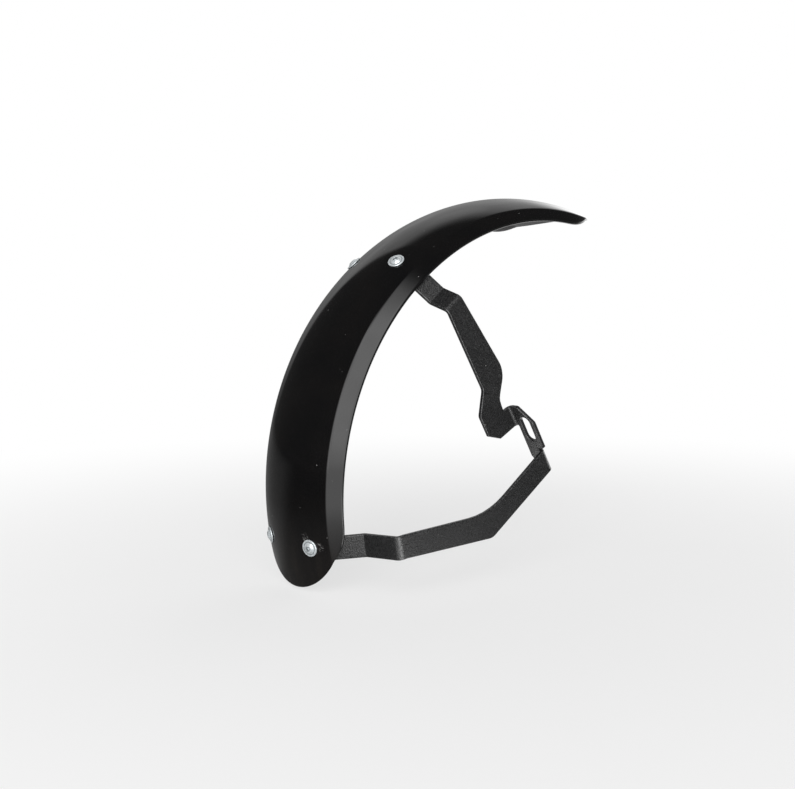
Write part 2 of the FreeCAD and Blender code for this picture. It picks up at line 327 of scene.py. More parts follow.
@dataclass
class Skin:
    """One closed surface: its points in millimetres, its faces, and values marked on its points."""

    points: Array
    quads: NDArray[np.int64]
    triangles: NDArray[np.int64] = field(default_factory=lambda: np.zeros((0, 3), np.int64))
    loops: list[list[int]] = field(default_factory=list)
    marks: dict[str, Array] = field(default_factory=dict)

    @classmethod
    def from_grid(cls, grid: Array, wrap_rows: bool = False) -> "Skin":
        """Join each point of a grid to its neighbours, and the last column to the first.

        Args:
            grid: Points, rows by columns by three.
            wrap_rows: Whether the last row joins the first as well.

        Returns:
            The skin, with one four-sided face for each cell.
        """
        rows, columns = grid.shape[:2]
        index = np.arange(rows * columns).reshape(rows, columns)
        if wrap_rows:
            index = np.concatenate([index, index[:1]])
        index = np.concatenate([index, index[:, :1]], axis=1)
        corners = [index[:-1, :-1], index[1:, :-1], index[1:, 1:], index[:-1, 1:]]
        return cls(grid.reshape(-1, 3), np.stack(corners, axis=-1).reshape(-1, 4))

    def opened(self, joined: Flags, rows: int) -> "Skin":
        """Leave out the faces in so many first rows of a grid whose columns are joined to a neighbour.

        Args:
            joined: For each column whether it is joined.
            rows: How many rows of faces are left out.

        Returns:
            This skin.
        """
        quads = self.quads.reshape(-1, len(joined), 4)
        kept = np.ones(quads.shape[:2], bool)
        kept[:rows, joined] = False
        self.quads = quads[kept]
        return self

    def capped(self, columns: int, first: bool = True, last: bool = True) -> "Skin":
        """Close the first and last rows of a grid of so many columns with one face each, or one of them.

        Args:
            columns: How many points a row has.
            first: Whether the first row is closed.
            last: Whether the last row is closed.

        Returns:
            This skin.
        """
        count = len(self.points)
        caps = [(first, list(range(columns))), (last, list(range(count - columns, count))[::-1])]
        self.loops = [loop for wanted, loop in caps if wanted]
        return self

    def marked(self, mark: Mark, values: Array) -> "Skin":
        """Put a value on every point under an attribute's name."""
        self.marks[mark.value] = np.asarray(values, float).reshape(-1)
        return self

    def welded(self, distance: float = 1e-3) -> "Skin":
        """Merge points that coincide, and drop faces left without area and points without a face.

        A face with two corners merged becomes a triangle, and one with more goes. A merged point keeps the
        largest of its marks.

        Args:
            distance: Grid on which points count as the same, in millimetres.

        Returns:
            This skin.
        """
        keys = np.floor(self.points / distance + WELD_SHIFT).astype(np.int64)
        _, first, joined = np.unique(keys, axis=0, return_index=True, return_inverse=True)
        joined = joined.reshape(-1)
        quads = joined[self.quads]
        same = quads == np.roll(quads, -1, axis=1)
        merged = same.sum(axis=1)
        pinched = quads[merged == 1][~same[merged == 1]].reshape(-1, 3)
        triangles = np.concatenate([joined[self.triangles], pinched])
        quads = quads[merged == 0]
        loops = [joined[loop] for loop in self.loops]
        used = np.unique(np.concatenate([quads.reshape(-1), triangles.reshape(-1), *loops]))
        place = np.zeros(len(first), np.int64)
        place[used] = np.arange(len(used))
        for name, values in self.marks.items():
            largest = np.zeros(len(first))
            np.maximum.at(largest, joined, values)
            self.marks[name] = largest[used]
        self.points = self.points[first[used]]
        self.quads, self.triangles = place[quads], place[triangles]
        self.loops = [place[loop].tolist() for loop in loops]
        return self

    @classmethod
    def together(cls, skins: list["Skin"]) -> "Skin":
        """One skin from several whose open ends meet point for point.

        Args:
            skins: Skins that share the same marks.

        Returns:
            The welded skin.
        """
        for skin in skins:
            skin.outward()
        starts = np.cumsum([0] + [len(skin.points) for skin in skins]).tolist()
        started = list(zip(skins, starts))
        points = np.concatenate([skin.points for skin in skins])
        quads = np.concatenate([skin.quads + start for skin, start in started])
        triangles = np.concatenate([skin.triangles + start for skin, start in started])
        loops = [[corner + start for corner in loop] for skin, start in started for loop in skin.loops]
        marks = {name: np.concatenate([skin.marks[name] for skin in skins]) for name in skins[0].marks}
        return cls(points, quads, triangles, loops, marks).welded()

    def outward(self) -> "Skin":
        """Turn the faces outwards: the volume between them and their points' mean is then above zero.

        Returns:
            This skin.
        """
        fans = [np.asarray([[loop[0], a, b] for a, b in zip(loop[1:-1], loop[2:])]) for loop in self.loops]
        parts = [self.quads[:, :3], self.quads[:, [0, 2, 3]], self.triangles, *fans]
        faces = np.concatenate([part.reshape(-1, 3) for part in parts])
        corners = (self.points - self.points.mean(axis=0))[faces]
        volume = np.einsum("ij,ij->", corners[:, 0], np.cross(corners[:, 1], corners[:, 2]))
        if volume < 0:
            self.quads = self.quads[:, ::-1]
            self.triangles = self.triangles[:, ::-1]
            self.loops = [loop[::-1] for loop in self.loops]
        return self


def placed(name: str, data: bpy.types.ID) -> bpy.types.Object:
    """A new object in the scene that holds a mesh, lamp or camera.

    Args:
        name: The object's name.
        data: What it holds.

    Returns:
        The object.
    """
    made = bpy.data.objects.new(name, data)
    bpy.context.scene.collection.objects.link(made)
    return made


@dataclass(frozen=True)
class Workshop:
    """Turns skins into pieces that ride with the part and stand for its nodes."""

    origin: Array
    even_weight: int = 100

    def piece(self, name: str, skin: Skin, material: bpy.types.Material, nodes: list[str],
              even: bool = True) -> bpy.types.Object:
        """Make one object from a skin and fit it to the frame.

        Args:
            name: The object's name.
            skin: Its closed surface.
            material: Its finish.
            nodes: CAD nodes that it stands for.
            even: Whether shading leans to the larger faces, as wanted where flats meet small rounds.

        Returns:
            The object, at the origin with its place in its mesh.
        """
        skin.outward()
        faces = skin.quads.tolist() + skin.triangles.tolist() + skin.loops
        mesh = bpy.data.meshes.new(name)
        mesh.from_pydata(((skin.points - self.origin) * MILLIMETRE).tolist(), [], faces)
        for mark, values in skin.marks.items():
            mesh.attributes.new(mark, "FLOAT", "POINT").data.foreach_set("value", values)
        mesh.polygons.foreach_set("use_smooth", np.ones(len(mesh.polygons), bool))
        mesh.update()
        mesh.materials.append(material)
        made = placed(name, mesh)
        if even:
            lean = made.modifiers.new("even_shading", "WEIGHTED_NORMAL")
            lean.weight = self.even_weight
        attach(made, BODY)
        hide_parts(*nodes)
        log.info("%s: %d faces for %s", name, len(faces), ", ".join(nodes))
        return made


def outward_from_axis(angles: Array) -> Array:
    """Unit vectors square to the shell's axis: (cos a, 0, sin a) for angles in radians."""
    return np.stack([np.cos(angles), np.zeros_like(angles), np.sin(angles)], axis=-1)


def rounded_corners(corners: list[Corner], turn_step: float = 7.0) -> tuple[Array, Flags]:
    """A closed flat outline whose corners are rounded by arcs.

    At a corner with radius r and half angle h between its sides, the arc's ends lie r / tan h from the
    corner, and its centre r / sin h along the bisector.

    Args:
        corners: For each corner its two coordinates, its radius, and whether the side after it is joined
            to a neighbour rather than free.
        turn_step: Largest turn between points of an arc, in degrees.

    Returns:
        The outline's points, and for each whether the side after it is joined.
    """
    where = np.array([corner[:2] for corner in corners])
    runs: list[Array] = []
    joined: list[bool] = []
    for i, (_, _, radius, joined_after) in enumerate(corners):
        point = where[i]
        before = where[i - 1] - point
        after = where[(i + 1) % len(corners)] - point
        before = before / np.linalg.norm(before)
        after = after / np.linalg.norm(after)
        if radius == 0.0:
            runs.append(point[None])
            joined.append(joined_after)
            continue
        half = math.acos(float(np.clip(before @ after, -1, 1))) / 2
        bisector = (before + after) / np.linalg.norm(before + after)
        centre = point + bisector * radius / math.sin(half)
        ends = point + np.stack([before, after]) * radius / math.tan(half) - centre
        start, stop = np.arctan2(ends[:, 1], ends[:, 0])
        sweep = (stop - start + math.pi) % FULL_TURN - math.pi
        count = max(ARC_POINTS, math.ceil(abs(math.degrees(sweep)) / turn_step) + 1)
        turns = start + sweep * np.linspace(0, 1, count)
        runs.append(centre + radius * np.stack([np.cos(turns), np.sin(turns)], axis=-1))
        joined += [False] * (count - 1) + [joined_after]
    return np.concatenate(runs), np.array(joined)


def divided(outline: Array, joined: Flags, step: float, free_step: float) -> tuple[Array, Flags]:
    """Add points along an outline's longer sides.

    Args:
        outline: Closed outline.
        joined: For each point whether the side after it is joined to a neighbour.
        step: Largest distance wanted between points on joined sides.
        free_step: The same on free sides.

    Returns:
        The finer outline and the same note for each of its points.
    """
    closed = np.concatenate([outline, outline[:1]])
    lengths = np.linalg.norm(np.diff(closed, axis=0), axis=1)
    counts = np.maximum(1, np.ceil(lengths / np.where(joined, step, free_step) - SLACK).astype(int))
    side = np.repeat(np.arange(len(outline)), counts)
    place = np.arange(len(side)) - np.repeat(np.cumsum(counts) - counts, counts)
    share = (place / counts[side])[:, None]
    return closed[side] * (1 - share) + closed[side + 1] * share, joined[side]


def inset(outline: Array, distances: Array) -> Array:
    """An outline with each side moved inwards by its own distance.

    Each new corner is where the two moved sides meet; where they are nearly in line, the corner moves
    straight inwards by the smaller distance.

    Args:
        outline: Closed outline.
        distances: Distance for the side after each point.

    Returns:
        The moved outline, point for point.
    """
    ahead = np.roll(outline, -1, axis=0) - outline
    area = np.sum(outline[:, 0] * np.roll(outline[:, 1], -1) - np.roll(outline[:, 0], -1) * outline[:, 1])
    inward = np.stack([-ahead[:, 1], ahead[:, 0]], axis=-1) * np.sign(area)
    inward /= np.linalg.norm(inward, axis=1, keepdims=True)
    behind = np.roll(inward, 1, axis=0)
    before = np.roll(distances, 1)
    cross = behind[:, 0] * inward[:, 1] - behind[:, 1] * inward[:, 0]
    straight = np.abs(cross) < IN_LINE
    safe = np.where(straight, 1.0, cross)
    move_x = (before * inward[:, 1] - distances * behind[:, 1]) / safe
    move_y = (behind[:, 0] * distances - inward[:, 0] * before) / safe
    level = inward * np.minimum(before, distances)[:, None]
    return outline + np.where(straight[:, None], level, np.stack([move_x, move_y], axis=-1))


def inset_rings(outline: Array, joined: Flags, moves: Array) -> Array:
    """Outlines whose free sides are moved inwards by each of several distances.

    Where a free side meets a joined one, the corner slides along the joined side by the whole distance, as
    the corner of a strip's section does.

    Args:
        outline: Closed outline.
        joined: For each point whether the side after it is joined to a neighbour.
        moves: The distances.

    Returns:
        The outlines, distances by points by two.
    """
    rings = np.stack([inset(outline, np.where(joined, 0.0, move)) for move in moves])
    ahead = np.roll(outline, -1, axis=0) - outline
    ahead /= np.linalg.norm(ahead, axis=1, keepdims=True)
    starts = joined & ~np.roll(joined, 1)
    stops = ~joined & np.roll(joined, 1)
    rings[:, starts] = outline[starts] + moves[:, None, None] * ahead[starts]
    rings[:, stops] = outline[stops] - moves[:, None, None] * np.roll(ahead, 1, axis=0)[stops]
    return rings


def edge_rings(thickness: float, edge_round: float, steps: int = 4) -> tuple[Array, Array, Array]:
    """Levels through a flat strip's thickness whose two edges are rounded.

    Over a quarter turn q the side moves in by r (1 - sin q) at a height of r (1 - cos q).

    Args:
        thickness: The strip's thickness.
        edge_round: Radius r of its edges.
        steps: Steps in each quarter turn.

    Returns:
        For each level how far the outline moves in, its height, and a mark of one along the rounds.
    """
    quarter = np.linspace(0, QUARTER_TURN, steps + 1)
    moves = edge_round * (1 - np.sin(quarter))
    heights = edge_round * (1 - np.cos(quarter))
    marks = np.sin(2 * quarter)
    return (np.concatenate([moves, moves[::-1]]), np.concatenate([heights, (thickness - heights)[::-1]]),
            np.concatenate([marks, marks[::-1]]))


def strip_ring(half_width: Array, thickness: float, edge_round: float, steps: int = 4, parts: int = 1
               ) -> tuple[Array, Array, Array]:
    """The rounded rectangle that is a strip's section, for each of many half widths.

    Each corner is a quarter turn of radius r about a point r inside both faces, and the two wide faces have
    points that divide the whole width into equal parts.

    Args:
        half_width: Half the strip's width at each station.
        thickness: The strip's thickness.
        edge_round: Radius r of its edges.
        steps: Steps in each quarter turn.
        parts: Equal parts of the width.

    Returns:
        Offsets across the width and through the thickness, stations by points, and the edge marks.
    """
    quarter = np.linspace(0, QUARTER_TURN, steps + 1)
    turns = np.concatenate([quarter + k * QUARTER_TURN for k in range(4)])
    across_sign = np.repeat([1.0, -1.0, -1.0, 1.0], steps + 1)
    through_sign = np.repeat([1.0, 1.0, -1.0, -1.0], steps + 1)
    across = across_sign * (half_width[:, None] - edge_round) + edge_round * np.cos(turns)
    through = through_sign * (thickness / 2 - edge_round) + edge_round * np.sin(turns)
    marks = np.tile(np.sin(2 * quarter), 4)
    flat = (1 - 2 * np.arange(1, parts) / parts) * half_width[:, None]
    level = np.full(parts - 1, thickness / 2)
    plain = np.zeros(parts - 1)
    first, third = steps + 1, 3 * (steps + 1)

    def faced(ring: Array, upper: Array, lower: Array) -> Array:
        """A ring of four corners with points let in on its upper and lower faces."""
        runs = [ring[..., :first], upper, ring[..., first:third], lower, ring[..., third:]]
        return np.concatenate(runs, axis=-1)

    across = faced(across, flat, -flat)
    through = np.broadcast_to(faced(through, level, -level), across.shape)
    return across, through, np.broadcast_to(faced(marks, plain, plain), across.shape)


def swept_strip(centres: Array, normals: Array, width_way: Array, half_width: Array, thickness: float,
                edge_round: float, parts: int, first_cap: bool = False) -> Skin:
    """A strip carried along a path: centre + across * width_way + through * normal at each station.

    Args:
        centres: Path through the middle of the strip.
        normals: Unit vectors square to the strip's face at each station.
        width_way: Unit vector across the strip, the same all along.
        half_width: Half the strip's width at each station.
        thickness: The strip's thickness.
        edge_round: Radius of its edges.
        parts: Equal parts of its width.
        first_cap: Whether its first end is closed; the other stays open.

    Returns:
        The skin, with its edges marked.
    """
    across, through, marks = strip_ring(half_width, thickness, edge_round, parts=parts)
    grid = centres[:, None] + across[..., None] * width_way + through[..., None] * normals[:, None]
    skin = Skin.from_grid(grid).capped(across.shape[1], first=first_cap, last=False)
    return skin.marked(Mark.EDGE, marks)


def turned_about(foot: Array, normal: Array, radii: Array, heights: Array) -> Array:
    """Points of a turned part: foot + height * normal + radius * (cos a * u + sin a * v).

    Args:
        foot: Where the part's axis meets its seat.
        normal: Unit vector along the axis, outwards.
        radii: Distance from the axis, rows by angles.
        heights: Height above the seat, rows by angles or by one.

    Returns:
        The grid of points, rows by angles by three.
    """
    across = np.cross(normal, ACROSS)
    across /= np.linalg.norm(across)
    other = np.cross(normal, across)
    angles = np.arange(radii.shape[1]) * FULL_TURN / radii.shape[1]
    spokes = np.cos(angles)[:, None] * across + np.sin(angles)[:, None] * other
    return foot + np.asarray(heights)[..., None] * normal + radii[..., None] * spokes


def hexagon(angles: Array, flats: float) -> Array:
    """Distance from the middle of a hexagon to its side at each angle: half flats / cos of the nearest."""
    return flats / 2 / np.cos((angles + math.pi / 6) % (math.pi / 3) - math.pi / 6)


@dataclass
class FenderShell:
    """The gloss shell: an arched section with flared flanks turned about the axis, round at both ends."""

    sizes: ShellSizes = ShellSizes()
    stations: int = 130
    end_stations: int = 34
    rim_steps: int = 8
    section_steps: tuple[int, int, int] = (34, 10, 8)
    table_steps: tuple[int, int, int] = (1200, 300, 300)

    def half_section(self, crown: int, shoulder: int, flank: int) -> tuple[Array, Array]:
        """The outer half section: crown arc, shoulder arc, then the straight flank.

        Args:
            crown: Steps along the crown.
            shoulder: Steps round the shoulder.
            flank: Steps down the flank.

        Returns:
            Points as distance from the middle and from the axis, and the angle of each point's normal from
            the crown's middle.
        """
        size = self.sizes
        run = math.hypot(size.flank_flare, size.flank_depth)
        down = np.array([size.flank_flare, -size.flank_depth]) / run
        out = np.array([size.flank_depth, size.flank_flare]) / run
        corner = np.array([size.shoulder_half_width, size.shoulder_radius])
        moved = corner - out * size.shoulder_round - [0.0, size.crown_centre]
        along = moved @ down
        back = math.sqrt(along ** 2 - moved @ moved + (size.crown_arc - size.shoulder_round) ** 2)
        centre = moved - down * (along + back) + [0.0, size.crown_centre]
        lean_crown = math.atan2(centre[0], centre[1] - size.crown_centre)
        lean_flank = math.atan2(out[0], out[1])
        crown_leans = np.linspace(0, lean_crown, crown + 1)
        shoulder_leans = np.linspace(lean_crown, lean_flank, shoulder + 1)[1:]
        crown_points = size.crown_arc * np.stack([np.sin(crown_leans), np.cos(crown_leans)], axis=-1)
        crown_points += [0.0, size.crown_centre]
        shoulder_points = centre + size.shoulder_round * np.stack(
            [np.sin(shoulder_leans), np.cos(shoulder_leans)], axis=-1)
        foot = corner + down * (run - size.wall / 2)
        shares = np.linspace(0, 1, flank + 1)[1:, None]
        flank_points = shoulder_points[-1] * (1 - shares) + foot * shares
        points = np.concatenate([crown_points, shoulder_points, flank_points])
        leans = np.concatenate([crown_leans, shoulder_leans, np.full(flank, lean_flank)])
        return points, leans

    def angles(self) -> tuple[Array, Array]:
        """Stations round the axis, closer together towards the round ends.

        Returns:
            The angle of each station, and how far it is past the centre of the nearer end's round, both in
            radians; the second is zero between the two ends.
        """
        size = self.sizes
        length = size.end_length / size.crown_radius
        reach = math.asin(size.edge_half_width / size.crown_radius)
        front = math.radians(size.front_tip) + reach
        tail = math.radians(size.tail_tip) - reach
        ends = np.arcsin(length * np.sin(np.linspace(0, QUARTER_TURN, self.end_stations + 1)))
        middle = np.linspace(front, tail, self.stations + 1)
        angles = np.concatenate([front - ends[:0:-1], middle, tail + ends[1:]])
        past = np.concatenate([ends[:0:-1], np.zeros_like(middle), ends[1:]])
        return angles, past

    def skin(self) -> Skin:
        """The closed shell.

        Outer points are y across and r outwards at arc length s, with s held to where the end's round
        (y / a)^2 + (r sin p / b)^2 = 1 cuts the section. Inner points lie one wall inside along the
        normal, and a half circle of that thickness joins the two along the rim.

        Returns:
            The welded skin, its inner side marked.
        """
        size = self.sizes
        table, table_leans = self.half_section(*self.table_steps)
        arc = np.concatenate([[0], np.cumsum(np.linalg.norm(np.diff(table, axis=0), axis=1))])
        columns, _ = self.half_section(*self.section_steps)
        column_arc = np.interp(columns[:, 0], table[:, 0], arc)
        angles, past = self.angles()
        sideways = (table[:, 0] / (table[-1, 0] + SLACK)) ** 2
        inside = sideways + (table[:, 1] * np.sin(past)[:, None] / size.end_length) ** 2 < 1.0
        last = np.maximum(inside.sum(axis=1) - 1, 0)
        reach = arc[last]
        reach[[0, -1]] = 0.0
        held = np.minimum(column_arc, reach[:, None])
        right = np.stack([-np.interp(held, arc, table[:, 0]), np.interp(held, arc, table[:, 1])], axis=-1)
        lean = np.interp(held, arc, table_leans)
        out = outward_from_axis(angles)[:, None]
        sides = {}
        for side in Side:
            points = -side.value * right[..., :1] * ACROSS + right[..., 1:] * out
            normals = side.value * np.sin(lean)[..., None] * ACROSS + np.cos(lean)[..., None] * out
            edge_way = np.gradient(points[:, -1], axis=0)
            beyond = side.value * np.cross(edge_way, normals[:, -1])
            along = np.stack([-np.sin(angles), np.zeros_like(angles), np.cos(angles)], axis=-1)
            beyond[0] = -along[0]
            beyond[-1] = along[-1]
            beyond /= np.linalg.norm(beyond, axis=1, keepdims=True)
            turns = np.linspace(0, math.pi, self.rim_steps + 1)[1:-1, None]
            middle = points[:, -1] - normals[:, -1] * size.wall / 2
            rim = (np.cos(turns) * normals[:, None, -1] + np.sin(turns) * beyond[:, None]) * size.wall / 2
            sides[side] = (points, points - size.wall * normals, middle[:, None] + rim)
        outer_left, inner_left, rim_left = sides[Side.LEFT]
        outer_right, inner_right, rim_right = sides[Side.RIGHT]
        grid = np.concatenate([outer_left[:, :0:-1], outer_right, rim_right, inner_right[:, ::-1],
                               inner_left[:, 1:], rim_left[:, ::-1]], axis=1)
        count = 2 * len(columns) - 1
        rim_marks = np.linspace(0, 1, self.rim_steps + 1)[1:-1]
        marks = np.concatenate([np.zeros(count), rim_marks, np.ones(count), rim_marks[::-1]])
        skin = Skin.from_grid(grid).marked(Mark.UNDERSIDE, np.broadcast_to(marks, grid.shape[:2]))
        return skin.welded()

    def build(self, workshop: Workshop, material: bpy.types.Material) -> bpy.types.Object:
        """Make the shell's piece.

        Args:
            workshop: Where pieces are made.
            material: The gloss finish.

        Returns:
            The piece.
        """
        nodes = ["fender_shell"]
        return workshop.piece("gloss_shell", self.skin(), material, nodes, even=False)


@dataclass
class StayBracket:
    """The coated bracket: two folded straps, two flat arms, and the slotted plate between them."""

    sizes: BracketSizes = BracketSizes()
    shell: ShellSizes = ShellSizes()
    fasteners: FastenerSizes = FastenerSizes()
    grid_step: float = 1.0
    corner_stations: int = 8
    crown_stations: int = 28
    fold_stations: int = 10

    @property
    def inboard(self) -> float:
        """Y of the plate's inner edge and of the axis of the upper arm's bend."""
        return self.arm_face(self.sizes.upper) - self.sizes.bend_inside

    @property
    def lower_bend(self) -> float:
        """Y of the axis of the lower arm's bend."""
        return self.arm_face(self.sizes.lower) + self.sizes.bend_outside

    def parts(self, width: float) -> int:
        """How many parts of about the grid's step a width is divided into."""
        return max(1, math.ceil(width / self.grid_step - SLACK))

    def fold_in(self, strap: StrapSizes) -> Array:
        """Where a strap's outer face first folds outwards, as Y and distance from the axis."""
        out = -self.shell.edge_half_width - strap.fold_reach
        return np.array([out, self.shell.edge_radius - strap.fold_drop])

    def arm_face(self, strap: StrapSizes) -> float:
        """Y of the outer face of a strap's arm."""
        return float(self.fold_in(strap)[0]) - strap.step_out

    def arm_start(self, strap: StrapSizes) -> float:
        """Distance from the axis at which a strap ends and its flat arm starts.

        Args:
            strap: The strap's sizes.

        Returns:
            The distance.
        """
        turn = QUARTER_TURN - math.atan2(strap.step_drop, strap.step_out)
        fold_out = float(self.fold_in(strap)[1]) - strap.step_drop
        return fold_out - self.sizes.bend_outside * math.tan(turn / 2) - strap.arm_lead

    def strap_path(self, strap: StrapSizes) -> tuple[Array, Array, Array]:
        """The middle line of a strap, edge on: crown arc, fold in, run, fold out, step, fold in, run.

        A normal leaning by f from upwards gives the face's way (-cos f, -sin f). Each fold turns the lean
        about a centre on the strip's inner side, or on its outer side for the second fold.

        Args:
            strap: The strap's sizes.

        Returns:
            Points as Y and distance from the axis, the lean at each, and half the strip's width there.
        """
        size = self.sizes
        half = size.thickness / 2
        inset_by = self.shell.wall + size.strap_gap
        crown = np.array([0.0, self.shell.crown_centre])
        arc = self.shell.crown_arc - inset_by
        fold_in = self.fold_in(strap)
        fold_out = fold_in - [strap.step_out, strap.step_drop]
        lean_run = math.atan2(1.0, strap.flare)
        lean_step = math.atan2(strap.step_drop, strap.step_out)
        way_run = np.array([-math.cos(lean_run), -math.sin(lean_run)])
        out_run = np.array([-math.sin(lean_run), math.cos(lean_run)])
        moved = fold_in - out_run * size.bend_outside - crown
        along = moved @ way_run
        back = math.sqrt(along ** 2 - moved @ moved + (arc - size.bend_outside) ** 2)
        centre = moved - way_run * (along + back) + crown
        lean_crown = math.atan2(-(centre - crown)[0], (centre - crown)[1])
        lean_end = -math.asin((self.fasteners.spread / 2 + size.strap_end_margin) / self.shell.crown_arc)
        middle_arc = arc - half
        corner = size.strap_corner
        rounding = np.linspace(0, QUARTER_TURN, self.corner_stations)
        end_runs = corner * (1 - np.cos(rounding))
        end_widths = size.strip_width / 2 - corner + corner * np.sin(rounding)
        leans_end = lean_end + end_runs / middle_arc
        leans_crown = np.linspace(leans_end[-1], lean_crown, self.crown_stations)[1:]
        leans_first = np.linspace(lean_crown, lean_run, self.fold_stations)[1:]
        leans_second = np.linspace(lean_run, lean_step, self.fold_stations)
        leans_third = np.linspace(lean_step, QUARTER_TURN, self.fold_stations)

        def bow(leans: Array) -> Array:
            """Unit normals at leans, as Y and distance from the axis."""
            return np.stack([-np.sin(leans), np.cos(leans)], axis=-1)

        def fold_centre(point: Array, start: float, stop: float, reach: float) -> Array:
            """Centre of a fold whose drawn faces would meet at a point; a reach below zero lies outside."""
            middle = bow(np.array([(start + stop) / 2]))[0]
            return point - middle * reach / math.cos((stop - start) / 2)

        second = fold_centre(fold_in, lean_run, lean_step, -size.bend_inside)
        third = fold_centre(fold_out, lean_step, QUARTER_TURN, size.bend_outside)
        start = np.array([[fold_out[0] + half, self.arm_start(strap)]])
        points = np.concatenate([
            crown + middle_arc * bow(np.concatenate([leans_end, leans_crown])),
            centre + size.bend_middle * bow(leans_first),
            second - size.bend_middle * bow(leans_second),
            third + size.bend_middle * bow(leans_third),
            start,
        ])
        folds = [leans_first, leans_second, leans_third]
        leans = np.concatenate([leans_end, leans_crown, *folds, [QUARTER_TURN]])
        widths = np.full(len(points), size.strip_width / 2)
        widths[:len(end_widths)] = end_widths
        return points, leans, widths

    def strap_skin(self, strap: StrapSizes) -> Skin:
        """A strap swept along its middle line at the strap's angle round the axis, open at its arm.

        Args:
            strap: The strap's sizes.

        Returns:
            The skin.
        """
        points, leans, widths = self.strap_path(strap)
        angle = np.array(math.radians(strap.angle))
        out = outward_from_axis(angle)
        centres = points[:, :1] * ACROSS + points[:, 1:] * out
        normals = -np.sin(leans)[:, None] * ACROSS + np.cos(leans)[:, None] * out
        width_way = np.array([math.sin(angle), 0.0, -math.cos(angle)])
        return swept_strip(centres, normals, width_way, widths, self.sizes.thickness, self.sizes.edge_round,
                           self.parts(self.sizes.strip_width), first_cap=True)

    def start_corner(self, strap: StrapSizes, side: int, joined: bool = False) -> Corner:
        """A corner of the side view where a flat arm starts.

        Args:
            strap: The strap that the arm grows from.
            side: 1 for the rear or lower edge, -1 for the other.
            joined: Whether the side after it is joined.

        Returns:
            The corner.
        """
        angle = math.radians(strap.angle)
        radius = self.arm_start(strap)
        half = side * self.sizes.strip_width / 2
        x = radius * math.cos(angle) - half * math.sin(angle)
        return x, radius * math.sin(angle) + half * math.cos(angle), 0.0, joined

    def arm_corner(self, depth: float, height: float, radius: float = 0.0, joined: bool = False) -> Corner:
        """A corner of the side view by its depth behind the plate's bends and height along the plate."""
        point = self.sizes.plate_point(0.0, self.sizes.bend_depth + depth, height)
        return float(point[0]), float(point[2]), radius, joined

    def arm_corners(self, base: float, places: tuple[Triple, ...]) -> list[Corner]:
        """Corners of the side view by their depths, their rises above a base, and their radii."""
        return [self.arm_corner(depth, base + rise, radius) for depth, rise, radius in places]

    def arm_skin(self, strap: StrapSizes, corners: list[Corner]) -> Skin:
        """A flat arm: its side view carried through the strip's thickness with rounded edges.

        Args:
            strap: The strap that the arm grows from.
            corners: Corners of the side view, as X, Z, radius, and whether the next side is joined.

        Returns:
            The skin, open where it is joined.
        """
        outline, joined = divided(*rounded_corners(corners), self.grid_step, math.inf)
        moves, heights, marks = edge_rings(self.sizes.thickness, self.sizes.edge_round)
        rings = inset_rings(outline, joined, moves)
        levels = np.broadcast_to(self.arm_face(strap) + heights[:, None], rings.shape[:2])
        grid = np.stack([rings[..., 0], levels, rings[..., 1]], axis=-1)
        skin = Skin.from_grid(grid).opened(joined, len(moves) - 1).capped(len(outline))
        free = np.where(joined, 0.0, 1.0)
        return skin.marked(Mark.EDGE, np.broadcast_to(marks[:, None] * free, rings.shape[:2]))

    def upper_arm(self) -> Skin:
        """The upper arm with its neck and gusset.

        Returns:
            The skin, open where it is joined.
        """
        size = self.sizes
        corners = [
            self.start_corner(size.upper, 1),
            *self.arm_corners(size.plate_top, size.upper_rear),
            self.arm_corner(size.upper_gusset_depth, size.upper_bend_bottom, size.corner_round),
            self.arm_corner(0.0, size.upper_bend_bottom, joined=True),
            self.arm_corner(0.0, size.plate_top),
            *self.arm_corners(size.plate_top, size.upper_front),
            self.start_corner(size.upper, -1, joined=True),
        ]
        return self.arm_skin(size.upper, corners)

    def lower_arm(self) -> Skin:
        """The lower arm with its elbow.

        Returns:
            The skin, open where it is joined.
        """
        size = self.sizes
        corners = [
            self.start_corner(size.lower, 1),
            *self.arm_corners(size.plate_bottom, (size.lower_rear,)),
            self.arm_corner(0.0, size.plate_bottom, joined=True),
            self.arm_corner(0.0, size.lower_bend_top),
            *self.arm_corners(size.lower_bend_top, (size.lower_front,)),
            self.start_corner(size.lower, -1, joined=True),
        ]
        return self.arm_skin(size.lower, corners)

    def bend_skin(self, axis_y: float, side: int, bottom: float, top: float) -> Skin:
        """A quarter turn joining the plate to an arm.

        Args:
            axis_y: Y of the bend's axis.
            side: 1 for the inboard arm, -1 for the outboard one.
            bottom: Height of its lower end along the plate.
            top: Height of its upper end.

        Returns:
            The skin, open at both ends.
        """
        size = self.sizes
        turns = np.linspace(0, QUARTER_TURN, self.fold_stations)[:, None]
        to_plate = size.plate_point(0.0, -1.0, 0.0)
        normals = np.cos(turns) * (side * ACROSS) + np.sin(turns) * to_plate
        axis = size.plate_point(axis_y, size.bend_depth, (bottom + top) / 2)
        half_width = np.full(len(turns), (top - bottom) / 2)
        return swept_strip(axis + size.bend_middle * normals, normals, size.plate_point(0.0, 0.0, 1.0),
                           half_width, size.thickness, size.edge_round, self.parts(top - bottom))

